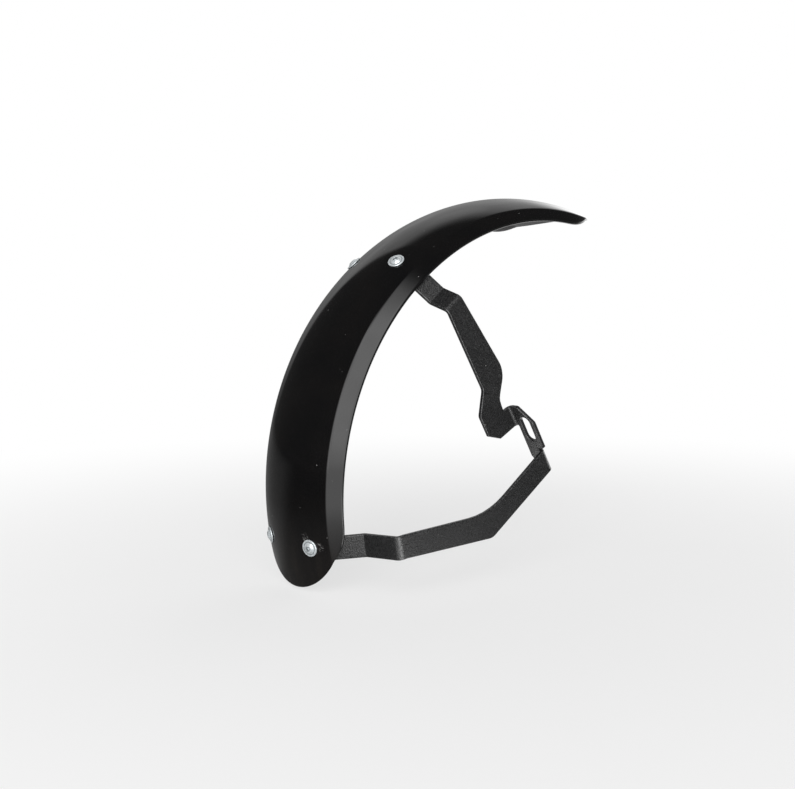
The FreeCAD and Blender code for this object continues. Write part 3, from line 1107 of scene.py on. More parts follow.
    def slot_ring(self, angles: Array, grow: Array) -> Array:
        """The slot's outline at angles about its middle, for each of several widenings.

        A ray leaves the straight sides at half width / |cos a|, or where that passes their end, the round
        of the same half width about the end of the slot's straight part.

        Args:
            angles: Angles in the plate's plane, from across towards up.
            grow: How much wider all round the slot is at each level.

        Returns:
            Offsets across and up, levels by angles by two.
        """
        half = self.sizes.slot_width / 2 + grow[:, None]
        straight = (self.sizes.slot_length - self.sizes.slot_width) / 2
        cos, sin = np.cos(angles), np.sin(angles)
        to_side = half / np.maximum(np.abs(cos), SLACK)
        rise = straight * np.abs(sin)
        to_round = rise + np.sqrt(np.maximum(rise ** 2 - straight ** 2 + half ** 2, 0.0))
        reach = np.where(to_side * np.abs(sin) <= straight, to_side, to_round)
        return reach[..., None] * np.stack([cos, sin], axis=-1)

    def plate_skin(self) -> Skin:
        """The plate: an outline with cut corners, rounded edges and the slot through it.

        Rings of the outline go from the front face to the rear one, and rings of the slot come back, so
        that the grid closes on itself both ways.

        Returns:
            The skin, open where it is joined.
        """
        size = self.sizes
        inboard, lower_bend = self.inboard, self.lower_bend
        outboard = inboard - size.plate_width
        top, bottom = size.plate_top, size.plate_bottom
        relief = size.lower_bend_top + size.plate_relief
        corners = [
            (inboard, top, 0.0, False),
            (outboard + size.top_chamfer[0], top, size.plate_round, False),
            (outboard, top - size.top_chamfer[1], size.plate_round, False),
            (outboard, relief, size.corner_round, False),
            (lower_bend, relief, 0.0, False),
            (lower_bend, size.lower_bend_top, 0.0, True),
            (lower_bend, bottom, 0.0, False),
            (inboard - size.bottom_chamfer[0], bottom, size.corner_round, False),
            (inboard, bottom + size.bottom_chamfer[1], size.plate_round, False),
            (inboard, size.upper_bend_bottom, 0.0, True),
        ]
        outline, joined = divided(*rounded_corners(corners), self.grid_step, self.grid_step)
        middle = np.array([(inboard + outboard) / 2, size.slot_height])
        spokes = outline - middle
        angles = np.arctan2(spokes[:, 1], spokes[:, 0])
        moves, heights, marks = edge_rings(size.thickness, size.edge_round)
        free = np.where(joined, 0.0, 1.0)
        outer = inset_rings(outline, joined, moves)
        slot = middle + self.slot_ring(angles, moves[::-1])
        rings = np.concatenate([outer, slot])
        depths = size.plate_rear - size.thickness + np.concatenate([heights, heights[::-1]])[:, None]
        grid = size.plate_point(rings[..., 0], np.broadcast_to(depths, rings.shape[:2]), rings[..., 1])
        edge = np.concatenate([marks[:, None] * free, np.broadcast_to(marks[::-1, None], slot.shape[:2])])
        return Skin.from_grid(grid, wrap_rows=True).opened(joined, len(moves) - 1).marked(Mark.EDGE, edge)

    def build(self, workshop: Workshop, material: bpy.types.Material) -> bpy.types.Object:
        """Make the bracket's piece.

        Args:
            workshop: Where pieces are made.
            material: The coated finish.

        Returns:
            The piece.
        """
        size = self.sizes
        skin = Skin.together([
            self.strap_skin(size.upper),
            self.upper_arm(),
            self.bend_skin(self.inboard, 1, size.upper_bend_bottom, size.plate_top),
            self.plate_skin(),
            self.bend_skin(self.lower_bend, -1, size.plate_bottom, size.lower_bend_top),
            self.lower_arm(),
            self.strap_skin(size.lower),
        ])
        return workshop.piece("coated_bracket", skin, material, ["stay_bracket"])


@dataclass
class Fasteners:
    """The four screws with their washers and lock nuts."""

    sizes: FastenerSizes = FastenerSizes()
    shell: ShellSizes = ShellSizes()
    bracket: BracketSizes = BracketSizes()
    angles: int = 72
    cap_rows: int = 11
    rim_rows: int = 9
    thread_rows: int = 116
    washer_steps: int = 3
    # Painted shade for each row: dark inside the socket and in the groove round the dome.
    socket_shade: tuple[float, ...] = (0.0, 0.8, 1.0, 1.0, 0.35)
    groove_shade: Triple = (0.6, 1.0, 0.8)

    @property
    def around(self) -> Array:
        """Angles of the columns of a turned part, in radians."""
        return np.arange(self.angles) * FULL_TURN / self.angles

    def stand(self, level: Level, side: Side) -> tuple[Array, Array]:
        """Where a screw stands on the crown and the way that its axis points outwards.

        Args:
            level: The strap that it holds.
            side: The side that it stands on.

        Returns:
            Its foot on the crown and a unit vector along its axis.
        """
        degrees = self.sizes.upper_angle if level is Level.UPPER else self.sizes.lower_angle
        out = outward_from_axis(np.array(math.radians(degrees)))
        lean = side.value * math.asin(self.sizes.spread / 2 / self.shell.crown_arc)
        normal = math.sin(lean) * ACROSS + math.cos(lean) * out
        return out * self.shell.crown_centre + normal * self.shell.crown_arc, normal

    def screw_skin(self, foot: Array, normal: Array) -> Skin:
        """A flanged button head with a hexagon socket, on a threaded shank.

        The dome is a ball cap; rows pass from the socket's hexagon to circles as shares of both. The
        thread takes a triangular wave of height above the pitch plus angle from the shank's radius.

        Args:
            foot: Where the underside of the flange sits.
            normal: Unit vector along the screw, outwards.

        Returns:
            The welded skin.
        """
        size = self.sizes
        ones = np.ones(self.angles)
        edge = size.dome / 2
        ball = (edge ** 2 + size.dome_height ** 2) / (2 * size.dome_height)
        top = size.flange_thickness + size.dome_height
        bottom = top - size.socket_depth

        def dome(radius: Array) -> Array:
            """Height of the ball cap at distances from the axis."""
            return top - ball + np.sqrt(ball ** 2 - radius ** 2)

        socket = hexagon(self.around, size.socket_flats)
        mouth = socket + size.socket_chamfer
        shares = np.linspace(0, 1, self.cap_rows + 1)[1:, None]
        cap = mouth * (1 - shares) + (edge - size.dome_edge) * shares
        rim = np.linspace(QUARTER_TURN, -QUARTER_TURN, self.rim_rows)[:, None]
        rim_round = size.flange_thickness / 2
        rim_radius = size.flange / 2 - rim_round + rim_round * np.cos(rim)
        rim_height = rim_round + rim_round * np.sin(rim)
        shank = size.shank / 2
        depth = np.linspace(size.shank_top, size.length - size.tip_chamfer, self.thread_rows)[:, None]
        wave = np.abs((depth / size.pitch + self.around / FULL_TURN) % 1.0 - 0.5) * 2
        run_in = np.clip((depth - size.thread_start) / size.thread_run_in, 0, 1)
        thread = shank - size.thread_depth * wave * run_in
        groove = np.array(size.groove)
        radii = np.concatenate([
            [0 * ones, socket * size.socket_floor, socket, socket, mouth],
            cap, (edge + groove[:, :1]) * ones, rim_radius * ones,
            [shank * ones], thread, [(shank - size.tip_chamfer) * ones, 0 * ones]])
        heights = np.concatenate([
            [(bottom - size.socket_point) * ones, bottom * ones, (bottom + size.socket_fillet) * ones,
             dome(socket) - size.socket_chamfer, dome(mouth)],
            dome(cap), (size.flange_thickness + groove[:, 1:]) * ones, rim_height * ones,
            [0 * ones], -depth * ones, [-size.length * ones, -size.length * ones]])
        # Paint shade into the socket's rows and the rows of the groove round the dome.
        recess = np.zeros(len(radii))
        recess[:len(self.socket_shade)] = self.socket_shade
        last_cap = len(self.socket_shade) + self.cap_rows - 1
        recess[last_cap:last_cap + len(self.groove_shade)] = self.groove_shade
        skin = Skin.from_grid(turned_about(foot, normal, radii, heights))
        return skin.marked(Mark.RECESS, recess[:, None] * ones).welded()

    def washer_skin(self, foot: Array, normal: Array) -> Skin:
        """A flat ring whose section is a rectangle with rounded corners, closed on itself.

        Args:
            foot: Where its outer face is.
            normal: Unit vector along the screw, outwards.

        Returns:
            The closed skin.
        """
        size = self.sizes
        width = (size.washer - size.washer_bore) / 4
        across, through, _ = strip_ring(np.array([width]), size.washer_thickness, size.washer_edge,
                                        self.washer_steps)
        radii = (size.washer + size.washer_bore) / 4 + across[0][:, None] * np.ones(self.angles)
        heights = through[0][:, None] - size.washer_thickness / 2 + np.zeros(self.angles)
        return Skin.from_grid(turned_about(foot, normal, radii, heights), wrap_rows=True)

    def nut_skin(self, foot: Array, normal: Array) -> Skin:
        """A lock nut: at each height the lesser of the hexagon and a cone that takes off its corners.

        Args:
            foot: Where its seat is.
            normal: Unit vector along the screw, outwards.

        Returns:
            The closed skin.
        """
        size = self.sizes
        ones = np.ones(self.angles)
        corner = size.nut_flats / math.sqrt(3)
        body = size.nut_height - size.nut_collar_height
        bore = size.shank / 2 + size.nut_clearance
        collar = size.nut_collar / 2
        first, second = size.nut_collar_rounds
        chamfer = np.array(size.nut_chamfer_drops)
        cone = np.append(size.nut_flats / 2 + np.array(size.nut_chamfer_cone), corner)
        drops = np.concatenate([chamfer, body - chamfer[::-1]])
        cones = np.concatenate([cone, cone[::-1]])
        sides = np.minimum(hexagon(self.around, size.nut_flats), cones[:, None])
        ring_radii = np.array([collar, collar, collar - first, collar - second, bore, bore])[:, None]
        ring_drops = np.array([body, size.nut_height - second, size.nut_height - first, size.nut_height,
                               size.nut_height, 0.0])
        radii = np.concatenate([sides, ring_radii * ones])
        heights = -np.concatenate([drops, ring_drops])[:, None] * ones
        return Skin.from_grid(turned_about(foot, normal, radii, heights), wrap_rows=True)

    def build(self, workshop: Workshop, material: bpy.types.Material) -> list[bpy.types.Object]:
        """Make every screw, washer and nut.

        Args:
            workshop: Where pieces are made.
            material: The plated finish.

        Returns:
            The pieces.
        """
        made = []
        bracket = self.bracket
        washer_seat = self.shell.wall + bracket.strap_gap + bracket.thickness + self.sizes.seat_gap
        nut_seat = washer_seat + self.sizes.washer_thickness
        for level in Level:
            for side in Side:
                foot, normal = self.stand(level, side)
                place = f"{level.value}_{side.name.lower()}"
                skins = {
                    "screw": self.screw_skin(foot, normal),
                    "washer": self.washer_skin(foot - normal * washer_seat, normal),
                    "nut": self.nut_skin(foot - normal * nut_seat, normal),
                }
                for kind, skin in skins.items():
                    node = f"{kind}_{place}"
                    made.append(workshop.piece(f"plated_{node}", skin, material, [node]))
        return made


class Graph:
    """Places and joins nodes in one shader tree."""

    def __init__(self, tree: bpy.types.NodeTree) -> None:
        """Take a tree and empty it.

        Args:
            tree: The tree to fill.
        """
        self.tree = tree
        tree.nodes.clear()

    def add(self, kind: str, inputs: dict[str | int, object] | None = None, **settings: object
            ) -> bpy.types.Node:
        """Add a node, with its settings and what goes into its sockets.

        Args:
            kind: The node's type.
            inputs: Socket names or places, each with a value or another node's socket.
            **settings: The node's own properties.

        Returns:
            The node.
        """
        node = self.tree.nodes.new(kind)
        for name, value in settings.items():
            setattr(node, name, value)
        for name, value in (inputs or {}).items():
            if isinstance(value, Socket):
                self.tree.links.new(value, node.inputs[name])
            else:
                node.inputs[name].default_value = value
        return node

    def noise(self, vector: Socket, scale: object = 1.0, detail: float = 3.0) -> Socket:
        """Cloudy noise of a scale, as a value about one half."""
        inputs = {"Vector": vector, "Scale": scale, "Detail": detail}
        return self.add("ShaderNodeTexNoise", inputs).outputs[0]

    def ramp(self, value: Socket, low: object, high: object, start: float = 0.0, stop: float = 1.0
             ) -> Socket:
        """A smooth step of a value between two limits, giving start to stop.

        Args:
            value: The value.
            low: The limit at which it gives the start.
            high: The limit at which it gives the stop.
            start: What it gives first.
            stop: What it gives last.

        Returns:
            The stepped value.
        """
        node = self.add("ShaderNodeMapRange", {0: value, 1: low, 2: high, 3: start, 4: stop},
                        interpolation_type="SMOOTHSTEP")
        return node.outputs[0]

    def maths(self, operation: str, *values: object) -> Socket:
        """One operation on values."""
        return self.add("ShaderNodeMath", dict(enumerate(values)), operation=operation).outputs[0]

    def times(self, first: object, second: object) -> Socket:
        """The product of two values."""
        return self.maths("MULTIPLY", first, second)

    def plus(self, first: object, second: object) -> Socket:
        """The sum of two values."""
        return self.maths("ADD", first, second)

    def measure(self, operation: str, *vectors: object) -> Socket:
        """One operation on vectors that gives a value."""
        node = self.add("ShaderNodeVectorMath", dict(enumerate(vectors)), operation=operation)
        return node.outputs["Value"]

    def blend(self, share: object, first: object, second: object) -> Socket:
        """A colour between two, by a share."""
        return self.add("ShaderNodeMix", {0: share, 6: first, 7: second}, data_type="RGBA").outputs[2]

    def stretched(self, vector: Socket, scale: Triple = (1.0, 1.0, 1.0), shift: Triple = (0.0, 0.0, 0.0)
                  ) -> Socket:
        """Coordinates drawn out along the axes and then shifted."""
        inputs = {"Vector": vector, "Location": shift, "Scale": scale}
        return self.add("ShaderNodeMapping", inputs).outputs[0]

    def mark(self, mark: Mark) -> Socket:
        """The value marked on the piece's points."""
        return self.add("ShaderNodeAttribute", attribute_name=mark.value).outputs["Fac"]

    def relief(self, height: Socket, strength: float, distance: float) -> Socket:
        """A normal tilted by the slope of a height."""
        inputs = {"Height": height, "Strength": strength, "Distance": distance}
        return self.add("ShaderNodeBump", inputs).outputs[0]


def shade(colour: Colour) -> tuple[float, float, float, float]:
    """A colour with full cover, as sockets take it."""
    return (*colour, 1.0)


class Effects:
    """Node groups that more than one finish uses, each built once."""

    speck_softness: float = 0.05
    cloud_detail: float = 4.0
    noise_middle: float = 0.5

    def __init__(self) -> None:
        """Build the groups."""
        self.specks = self.speck_group()
        self.clouds = self.cloud_group()

    @staticmethod
    def group(name: str, values: dict[str, float], output: str) -> tuple[Graph, dict[str, Socket], Socket]:
        """Start a group with a vector, some values in and one value out.

        Args:
            name: The group's name.
            values: Names of the values in, with their usual amounts.
            output: Name of the value out.

        Returns:
            The group's graph, what goes into it by name, and the socket for the value out.
        """
        tree = bpy.data.node_groups.new(name, "ShaderNodeTree")
        tree.interface.new_socket("Vector", in_out="INPUT", socket_type="NodeSocketVector")
        for value, usual in values.items():
            socket = tree.interface.new_socket(value, in_out="INPUT", socket_type="NodeSocketFloat")
            socket.default_value = usual
        tree.interface.new_socket(output, in_out="OUTPUT", socket_type="NodeSocketFloat")
        graph = Graph(tree)
        inner = graph.add("NodeGroupInput").outputs
        given = {value: inner[value] for value in ("Vector", *values)}
        return graph, given, graph.add("NodeGroupOutput").inputs[output]

    def speck_group(self) -> bpy.types.NodeTree:
        """Small round specks, in only a share of the cells of a cell pattern.

        Returns:
            The group's tree.
        """
        usual = {"Scale": 300.0, "Size": 0.2, "Share": 0.3}
        graph, given, mask = self.group("dust_specks", usual, "Mask")
        cells = graph.add("ShaderNodeTexVoronoi", {name: given[name] for name in ("Vector", "Scale")})
        lot = graph.add("ShaderNodeSeparateColor", {0: cells.outputs["Color"]})
        chosen = graph.maths("LESS_THAN", lot.outputs[0], given["Share"])
        width = graph.times(given["Size"], lot.outputs[1])
        near = graph.maths("SUBTRACT", width, cells.outputs["Distance"])
        dot = graph.ramp(near, 0.0, self.speck_softness)
        graph.tree.links.new(graph.times(dot, chosen), mask)
        return graph.tree

    def cloud_group(self) -> bpy.types.NodeTree:
        """Cloudy patches with a set softness about the middle of a noise.

        Returns:
            The group's tree.
        """
        graph, given, amount = self.group("cloudy_patches", {"Scale": 20.0, "Softness": 0.2}, "Amount")
        cloud = graph.noise(given["Vector"], given["Scale"], self.cloud_detail)
        low = graph.maths("SUBTRACT", self.noise_middle, given["Softness"])
        high = graph.plus(self.noise_middle, given["Softness"])
        graph.tree.links.new(graph.ramp(cloud, low, high), amount)
        return graph.tree


@dataclass(frozen=True)
class Finish:
    """What every finish starts from."""

    name: str
    effects: Effects

    def start(self) -> tuple[bpy.types.Material, Graph, Socket]:
        """A new material, its graph, and the piece's own coordinates.

        Returns:
            The three of them.
        """
        material = bpy.data.materials.new(self.name)
        material.use_nodes = True
        graph = Graph(material.node_tree)
        return material, graph, graph.add("ShaderNodeTexCoord").outputs["Object"]

    @staticmethod
    def effect(graph: Graph, tree: bpy.types.NodeTree, vector: Socket, **amounts: float) -> Socket:
        """Place a shared group with its own amounts and give its output."""
        inputs = {name.capitalize(): amount for name, amount in amounts.items()}
        return graph.add("ShaderNodeGroup", {"Vector": vector, **inputs}, node_tree=tree).outputs[0]

    @staticmethod
    def close(graph: Graph, inputs: dict[str | int, object]) -> None:
        """Put the sockets' values into the surface shader and the shader into the material."""
        shader = graph.add("ShaderNodeBsdfPrincipled", inputs)
        graph.add("ShaderNodeOutputMaterial", {"Surface": shader.outputs[0]})


@dataclass(frozen=True)
class GlossBlack(Finish):
    """Moulded gloss black with a faint brownish streaky film that is heavier low down, a few specks, and
    two scuffs beside the lower right screw.

    Bands give a ramp's two limits and what it gives at each. Dulling is what each layer adds to roughness.
    """

    black: Colour = (0.0036, 0.0036, 0.0039)
    film: Colour = (0.022, 0.018, 0.015)
    dust: Colour = (0.29, 0.285, 0.28)
    gloss: float = 0.055
    streak_stretch: Triple = (150.0, 150.0, 9.0)
    streak_detail: float = 4.0
    streak_band: Band = (0.35, 0.75, 0.15, 0.40)
    film_heights: Pair = (-0.05, -0.10)
    film_in_clouds: float = 0.12
    scuff_places: tuple[Triple, ...] = ((-0.1611, 0.0488, -0.0670), (-0.1563, 0.0378, -0.0725))
    scuff_reach: float = 0.0036
    scuff_along: Triple = (0.31, -0.85, -0.42)
    scuff_across: Triple = (0.0, -0.44, 0.90)
    stroke_scales: Pair = (420.0, 1100.0)
    stroke_band: Band = (0.50, 0.66, 0.0, 0.45)
    cloud_dulling: float = 0.05
    film_dulling: float = 0.06
    mark_dulling: float = 0.4
    underside_dulling: float = 0.30
    ripple_scale: float = 34.0
    ripple_height: float = 0.85
    peel_scale: float = 420.0
    peel_height: float = 0.02

    def scuffs(self, graph: Graph, place: Socket) -> Socket:
        """Short strokes close to the scuffs' places.

        Args:
            graph: The graph to build in.
            place: The piece's own coordinates.

        Returns:
            The mask.
        """
        ways = zip((self.scuff_along, self.scuff_across), self.stroke_scales)
        drawn = [graph.times(graph.measure("DOT_PRODUCT", place, way), scale) for way, scale in ways]
        strokes = graph.add("ShaderNodeCombineXYZ", dict(enumerate(drawn))).outputs[0]
        rub = graph.ramp(graph.noise(strokes, detail=1.0), *self.stroke_band)
        near: object = 0.0
        for middle in self.scuff_places:
            away = graph.measure("DISTANCE", place, middle)
            near = graph.plus(near, graph.ramp(away, self.scuff_reach, self.scuff_reach / 2))
        return graph.times(rub, near)

    def material(self) -> bpy.types.Material:
        """Build the material.

        Returns:
            The material.
        """
        material, graph, place = self.start()
        clouds = self.effect(graph, self.effects.clouds, place, scale=26.0, softness=0.25)
        streaks = graph.noise(graph.stretched(place, self.streak_stretch), detail=self.streak_detail)
        height = graph.add("ShaderNodeSeparateXYZ", {0: place}).outputs[2]
        film = graph.times(graph.ramp(streaks, *self.streak_band), graph.ramp(height, *self.film_heights))
        film = graph.plus(film, graph.times(clouds, self.film_in_clouds))
        specks = self.effect(graph, self.effects.specks, place, scale=330.0, size=0.14, share=0.10)
        marks = graph.maths("MAXIMUM", specks, self.scuffs(graph, place))
        colour = graph.blend(film, shade(self.black), shade(self.film))
        colour = graph.blend(marks, colour, shade(self.dust))
        dull = graph.ramp(clouds, 0.0, 1.0, self.gloss, self.gloss + self.cloud_dulling)
        layers = ((film, self.film_dulling), (marks, self.mark_dulling),
                  (graph.mark(Mark.UNDERSIDE), self.underside_dulling))
        for layer, dulling in layers:
            dull = graph.plus(dull, graph.times(layer, dulling))
        ripple = graph.times(graph.noise(place, self.ripple_scale, detail=1.0), self.ripple_height)
        peel = graph.times(graph.noise(place, self.peel_scale, detail=2.0), self.peel_height)
        normal = graph.relief(graph.plus(ripple, peel), strength=0.12, distance=0.001)
        self.close(graph, {"Base Color": colour, "Roughness": dull, "Normal": normal, "IOR": 1.5})
        return material


@dataclass(frozen=True)
class PowderCoat(Finish):
    """Fine textured black powder coat, lighter in patches along its rounded edges.

    Bands give a ramp's two limits and, where it isn't nought to one, what it gives at each.
    """

    coat: Colour = (0.004, 0.004, 0.0042)
    pale: Colour = (0.018, 0.018, 0.0185)
    edge_colour: Colour = (0.09, 0.09, 0.092)
    dust: Colour = (0.42, 0.41, 0.39)
    grain_scale: float = 1150.0
    coarse_scale: float = 500.0
    edge_patch_band: Pair = (0.42, 0.66)
    edge_patch_share: float = 0.6
    peak_band: Pair = (0.38, 0.66)
    cloud_share: float = 0.4
    pale_share: float = 0.7
    dull_band: Band = (0.3, 0.7, 0.25, 0.38)
    coarse_height: float = 0.25

    def material(self) -> bpy.types.Material:
        """Build the material.

        Returns:
            The material.
        """
        material, graph, place = self.start()
        clouds = self.effect(graph, self.effects.clouds, place, scale=60.0, softness=0.3)
        grain = graph.noise(place, self.grain_scale, detail=2.0)
        coarse = graph.noise(place, self.coarse_scale, detail=2.0)
        edge_patches = graph.times(graph.mark(Mark.EDGE), graph.ramp(coarse, *self.edge_patch_band))
        specks = self.effect(graph, self.effects.specks, place, scale=260.0, size=0.16, share=0.06)
        tone = graph.plus(graph.times(clouds, self.cloud_share), graph.ramp(grain, *self.peak_band))
        colour = graph.blend(graph.times(tone, self.pale_share), shade(self.coat), shade(self.pale))
        colour = graph.blend(graph.times(edge_patches, self.edge_patch_share), colour, shade(self.edge_colour))
        colour = graph.blend(specks, colour, shade(self.dust))
        dull = graph.ramp(grain, *self.dull_band)
        height = graph.plus(grain, graph.times(coarse, self.coarse_height))
        normal = graph.relief(height, strength=0.9, distance=0.00036)
        self.close(graph, {"Base Color": colour, "Roughness": dull, "Normal": normal, "IOR": 1.5,
                           "Specular IOR Level": 1.0})
        return material


@dataclass(frozen=True)
class BrightZinc(Finish):
    """Bright zinc plate with a faint blue cast, cloudy handling marks, and shade painted dark into the
    socket and the groove round the dome.
    """

    bright: Colour = (0.90, 0.95, 0.97)
    clouded: Colour = (0.76, 0.82, 0.85)
    # Dark colour painted into the socket and groove as shade.
    painted_shade_colour: Colour = (0.10, 0.12, 0.13)
    mark_share: float = 0.5
    recess_share: float = 0.78
    dullness: Pair = (0.18, 0.30)
    brush_stretch: Triple = (3000.0, 900.0, 3000.0)

    def material(self) -> bpy.types.Material:
        """Build the material.

        Returns:
            The material.
        """
        material, graph, place = self.start()
        clouds = self.effect(graph, self.effects.clouds, place, scale=420.0, softness=0.22)
        specks = self.effect(graph, self.effects.specks, place, scale=1300.0, size=0.3, share=0.2)
        marks = graph.times(graph.maths("MAXIMUM", clouds, specks), self.mark_share)
        # Painted shade: darken the plate where the screw's socket and groove are marked.
        recess = graph.times(graph.mark(Mark.RECESS), self.recess_share)
        colour = graph.blend(marks, shade(self.bright), shade(self.clouded))
        colour = graph.blend(recess, colour, shade(self.painted_shade_colour))
        dull = graph.ramp(clouds, 0.0, 1.0, *self.dullness)
        brush = graph.noise(graph.stretched(place, self.brush_stretch), detail=2.0)
        normal = graph.relief(brush, strength=0.15, distance=0.0001)
        self.close(graph, {"Base Color": colour, "Metallic": 0.5, "Roughness": dull, "Normal": normal})
        return material


@dataclass(frozen=True)
class Panel:
    """A lit panel of the studio as the part sees it, by bearings in degrees.

    Azimuth runs from +Y towards +X, from -60 to 300, elevation from the horizon up, and each edge fades
    over its softness on either side: the sides', the foot's and the top's.
    """

    name: str
    azimuth: Pair
    elevation: Pair
    softness: Triple
    strength: float


@dataclass(frozen=True)
class Pool:
    """The light that a panel leaves on the floor, as gloss sees it, by its bearing from the part's foot.

    Strength goes from the near one to the far one as the distance goes from one reach to the other.
    """

    name: str
    azimuth: Pair
    softness: float
    strength: Pair
    reach: Pair


@dataclass
class Studio:
    """Floor, light and camera.

    Bands give a ramp's two limits and what it gives at each.
    """

    camera_place: Triple = (-0.51126, -0.51100, 0.08374)
    camera_way: Triple = (0.60525, 0.79162, -0.08368)
    sensor: float = 36.0
    focal_pixels: float = 1000.0
    frame_pixels: float = 795.0
    azimuths: Pair = (-60.0, 300.0)
    ambient: float = 0.05
    uneven_scale: float = 5.0
    uneven_band: Band = (0.3, 0.7, 0.88, 1.12)
    panels: tuple[Panel, ...] = (
        Panel("backdrop", (5.0, 78.0), (17.0, 57.0), (2.5, 27.0, 8.0), 0.58),
        Panel("soft_box", (190.0, 250.0), (-14.0, 52.0), (10.0, 20.0, 8.0), 2.65),
        Panel("side_fill", (110.0, 174.0), (-20.0, 32.0), (12.0, 10.0, 12.0), 0.16),
        Panel("rim_light", (52.0, 102.0), (-4.0, 24.0), (10.0, 10.0, 12.0), 3.0),
    )
    foot: Pair = (-0.08, 0.04)
    pools: tuple[Pool, ...] = (
        Pool("soft_box", (190.0, 248.0), 9.0, (0.3, 1.8), (0.05, 0.40)),
        Pool("strip_lamp", (197.0, 211.0), 5.0, (5.0, 0.0), (0.25, 0.70)),
        Pool("side_fill", (139.0, 190.0), 20.0, (0.55, 0.12), (0.20, 0.65)),
        Pool("rim_light", (62.0, 100.0), 12.0, (2.0, 2.0), (0.10, 0.60)),
        Pool("backdrop", (-46.0, 62.0), 12.0, (0.13, 0.06), (0.30, 6.00)),
        Pool("part", (-80.0, 320.0), 5.0, (0.12, 0.03), (0.10, 0.40)),
    )
    key_place: Triple = (-1.7, -1.2, 0.85)
    key_size: float = 1.2
    key_power: float = 20.0
    floor_drop: float = 0.002
    floor_radii: tuple[float, ...] = (0.0, 0.1, 0.25, 0.5, 1.0, 2.0, 4.0, 8.0, 16.0)
    floor_angles: int = 96
    floor_tones: tuple[Colour, Colour] = ((0.74, 0.74, 0.74), (0.78, 0.78, 0.78))
    floor_mottle: float = 9.0
    floor_white: Band = (0.10, 0.90, 0.65, 1.0)

    def bearing(self, graph: Graph, axes: bpy.types.Node) -> Socket:
        """Azimuth of a direction from its separate axes, in radians from +Y towards +X, wrapped.

        Args:
            graph: The graph to build in.
            axes: A node that gives the direction's axes.

        Returns:
            The azimuth.
        """
        first, last = (math.radians(limit) for limit in self.azimuths)
        turn = graph.maths("ARCTAN2", axes.outputs[0], axes.outputs[1])
        return graph.maths("WRAP", turn, last, first)

    @staticmethod
    def window(graph: Graph, value: Socket, limits: Pair, first: float, last: float) -> Socket:
        """One between two limits in degrees and nought outside, fading over a softness at each.

        Args:
            graph: The graph to build in.
            value: An angle in radians.
            limits: Where the window starts and stops.
            first: Softness at its start.
            last: Softness at its stop.

        Returns:
            The share.
        """
        start, stop = (math.radians(limit) for limit in limits)
        first, last = math.radians(first), math.radians(last)
        opening = graph.ramp(value, start - first, start + first)
        return graph.times(opening, graph.ramp(value, stop + last, stop - last))

    def world(self) -> None:
        """Light all round the part, with soft patches; the camera sees plain white instead."""
        scene = bpy.context.scene
        scene.world = bpy.data.worlds.new("studio")
        scene.world.use_nodes = True
        graph = Graph(scene.world.node_tree)
        way = graph.add("ShaderNodeTexCoord").outputs["Generated"]
        axes = graph.add("ShaderNodeSeparateXYZ", {0: way})
        azimuth = self.bearing(graph, axes)
        elevation = graph.maths("ARCSINE", axes.outputs[2])
        uneven = graph.ramp(graph.noise(way, self.uneven_scale, detail=2.0), *self.uneven_band)
        total: object = self.ambient
        for panel in self.panels:
            side, low, high = panel.softness
            across = self.window(graph, azimuth, panel.azimuth, side, side)
            up = self.window(graph, elevation, panel.elevation, low, high)
            lit = graph.times(graph.times(across, up), panel.strength)
            total = graph.plus(total, graph.times(lit, uneven))
            log.info("panel %s: strength %.2f", panel.name, panel.strength)
        light, plain = (
            graph.add("ShaderNodeBackground", {"Strength": strength, "Color": shade(WHITE)}).outputs[0]
            for strength in (total, 1.0))
        seen = graph.add("ShaderNodeLightPath").outputs["Is Camera Ray"]
        choice = graph.add("ShaderNodeMixShader", {0: seen, 1: light, 2: plain})
        graph.add("ShaderNodeOutputWorld", {"Surface": choice.outputs[0]})

    def pooled(self, graph: Graph, place: Socket) -> Socket:
        """Strength of the floor as gloss sees it: the sum of its pools.

        Args:
            graph: The graph to build in.
            place: The floor's own coordinates.

        Returns:
            The strength.
        """
        shifted = graph.stretched(place, shift=(-self.foot[0], -self.foot[1], 0.0))
        axes = graph.add("ShaderNodeSeparateXYZ", {0: shifted})
        azimuth = self.bearing(graph, axes)
        flat = graph.add("ShaderNodeCombineXYZ", {0: axes.outputs[0], 1: axes.outputs[1]}).outputs[0]
        away = graph.measure("LENGTH", flat)
        total: object = 0.0
        for pool in self.pools:
            across = self.window(graph, azimuth, pool.azimuth, pool.softness, pool.softness)
            total = graph.plus(total, graph.times(across, graph.ramp(away, *pool.reach, *pool.strength)))
            log.info("pool %s: strength %.2f to %.2f", pool.name, *pool.strength)
        return total

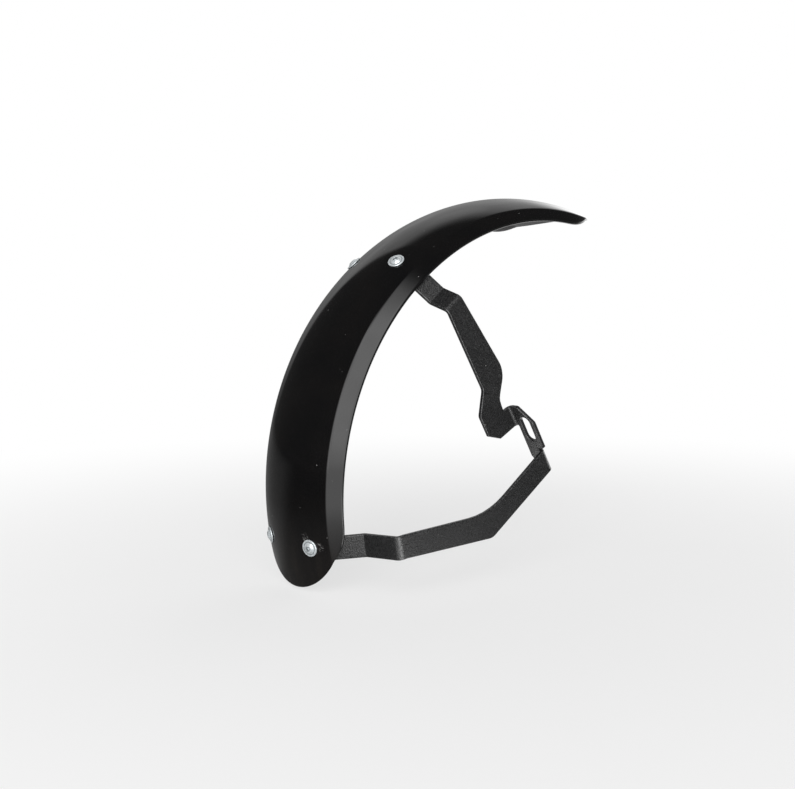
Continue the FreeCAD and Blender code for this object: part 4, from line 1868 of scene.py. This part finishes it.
    def floor_material(self) -> bpy.types.Material:
        """Matt and pale, going over to white further off; gloss sees pools, and it is clear from below.

        Returns:
            The material.
        """
        material = bpy.data.materials.new("pale_floor")
        material.use_nodes = True
        graph = Graph(material.node_tree)
        place = graph.add("ShaderNodeTexCoord").outputs["Object"]
        tones = [shade(tone) for tone in self.floor_tones]
        mottle = graph.blend(graph.noise(place, self.floor_mottle), *tones)
        matt = graph.add("ShaderNodeBsdfPrincipled", {"Base Color": mottle, "Roughness": 0.7})
        rays = graph.add("ShaderNodeLightPath").outputs
        share = graph.ramp(graph.measure("LENGTH", place), *self.floor_white)
        share = graph.times(share, rays["Is Camera Ray"])
        share = graph.maths("MAXIMUM", share, rays["Is Glossy Ray"])
        pools = self.pooled(graph, place)
        strength = graph.add("ShaderNodeMix", {0: rays["Is Camera Ray"], 2: pools, 3: 1.0}).outputs[0]
        white = graph.add("ShaderNodeEmission", {"Color": shade(WHITE), "Strength": strength})
        above = graph.add("ShaderNodeMixShader", {0: share, 1: matt.outputs[0], 2: white.outputs[0]})
        below = graph.add("ShaderNodeNewGeometry").outputs["Backfacing"]
        clear = graph.add("ShaderNodeBsdfTransparent")
        surface = graph.add("ShaderNodeMixShader", {0: below, 1: above.outputs[0], 2: clear.outputs[0]})
        graph.add("ShaderNodeOutputMaterial", {"Surface": surface.outputs[0]})
        return material

    def floor(self, height: float) -> bpy.types.Object:
        """A pale round floor that fades into the white behind it.

        The disc's points are radius times (cos a, sin a) on a grid of radii and angles.

        Args:
            height: Z of the floor, in metres.

        Returns:
            The floor.
        """
        radii = np.array(self.floor_radii)[:, None]
        around = np.linspace(0, FULL_TURN, self.floor_angles + 1)[:-1]
        flat = np.broadcast_to(height, (len(radii), len(around)))
        grid = np.stack([radii * np.cos(around), radii * np.sin(around), flat], axis=-1)
        skin = Skin.from_grid(grid / MILLIMETRE).welded()
        mesh = bpy.data.meshes.new("studio_floor")
        faces = skin.quads.tolist() + skin.triangles.tolist()
        mesh.from_pydata((skin.points * MILLIMETRE).tolist(), [], faces)
        mesh.materials.append(self.floor_material())
        made = placed("studio_floor", mesh)
        made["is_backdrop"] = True
        return made

    def key(self, target: Vector) -> bpy.types.Object:
        """A large soft lamp for the body of the light; reflections show the panels instead of it.

        Args:
            target: Where it points.

        Returns:
            The lamp.
        """
        data = bpy.data.lights.new("soft_key", "AREA")
        data.shape = "SQUARE"
        data.size = self.key_size
        data.energy = self.key_power
        made = placed("soft_key", data)
        made.location = self.key_place
        made.rotation_euler = (target - Vector(self.key_place)).to_track_quat("-Z", "Y").to_euler()
        made.visible_glossy = False
        return made

    def camera(self) -> None:
        """The camera, at the photograph's place and angle."""
        data = bpy.data.cameras.new("camera")
        data.sensor_fit = "HORIZONTAL"
        data.sensor_width = self.sensor
        data.lens = self.sensor * self.focal_pixels / self.frame_pixels
        made = placed("camera", data)
        made.location = self.camera_place
        made.rotation_euler = Vector(self.camera_way).to_track_quat("-Z", "Y").to_euler()
        bpy.context.scene.camera = made

    def build(self, low: Vector, high: Vector) -> None:
        """Set up the whole studio round the part.

        Args:
            low: The lowest corner of the part's box.
            high: Its highest corner.
        """
        bpy.context.scene.view_settings.view_transform = "Standard"
        self.world()
        self.floor(low.z - self.floor_drop)
        self.key((low + high) / 2)
        self.camera()


def main() -> None:
    """Load the frame, build each sub-assembly in its finish, and light it."""
    logging.basicConfig(level=logging.INFO, format="%(name)s: %(message)s")
    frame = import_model()
    cad_low, cad_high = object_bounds()
    log.info("frame of %d nodes", len(frame["nodes"]))
    bracket = StayBracket()
    plate = bracket.sizes
    slot_y = bracket.inboard - plate.plate_width / 2
    workshop = Workshop(plate.plate_point(slot_y, plate.plate_rear - plate.thickness, plate.slot_height))
    effects = Effects()
    FenderShell().build(workshop, GlossBlack("gloss_black", effects).material())
    bracket.build(workshop, PowderCoat("powder_coat", effects).material())
    Fasteners().build(workshop, BrightZinc("bright_zinc", effects).material())
    Studio().build(cad_low, cad_high)


if __name__ == "__main__":
    main()
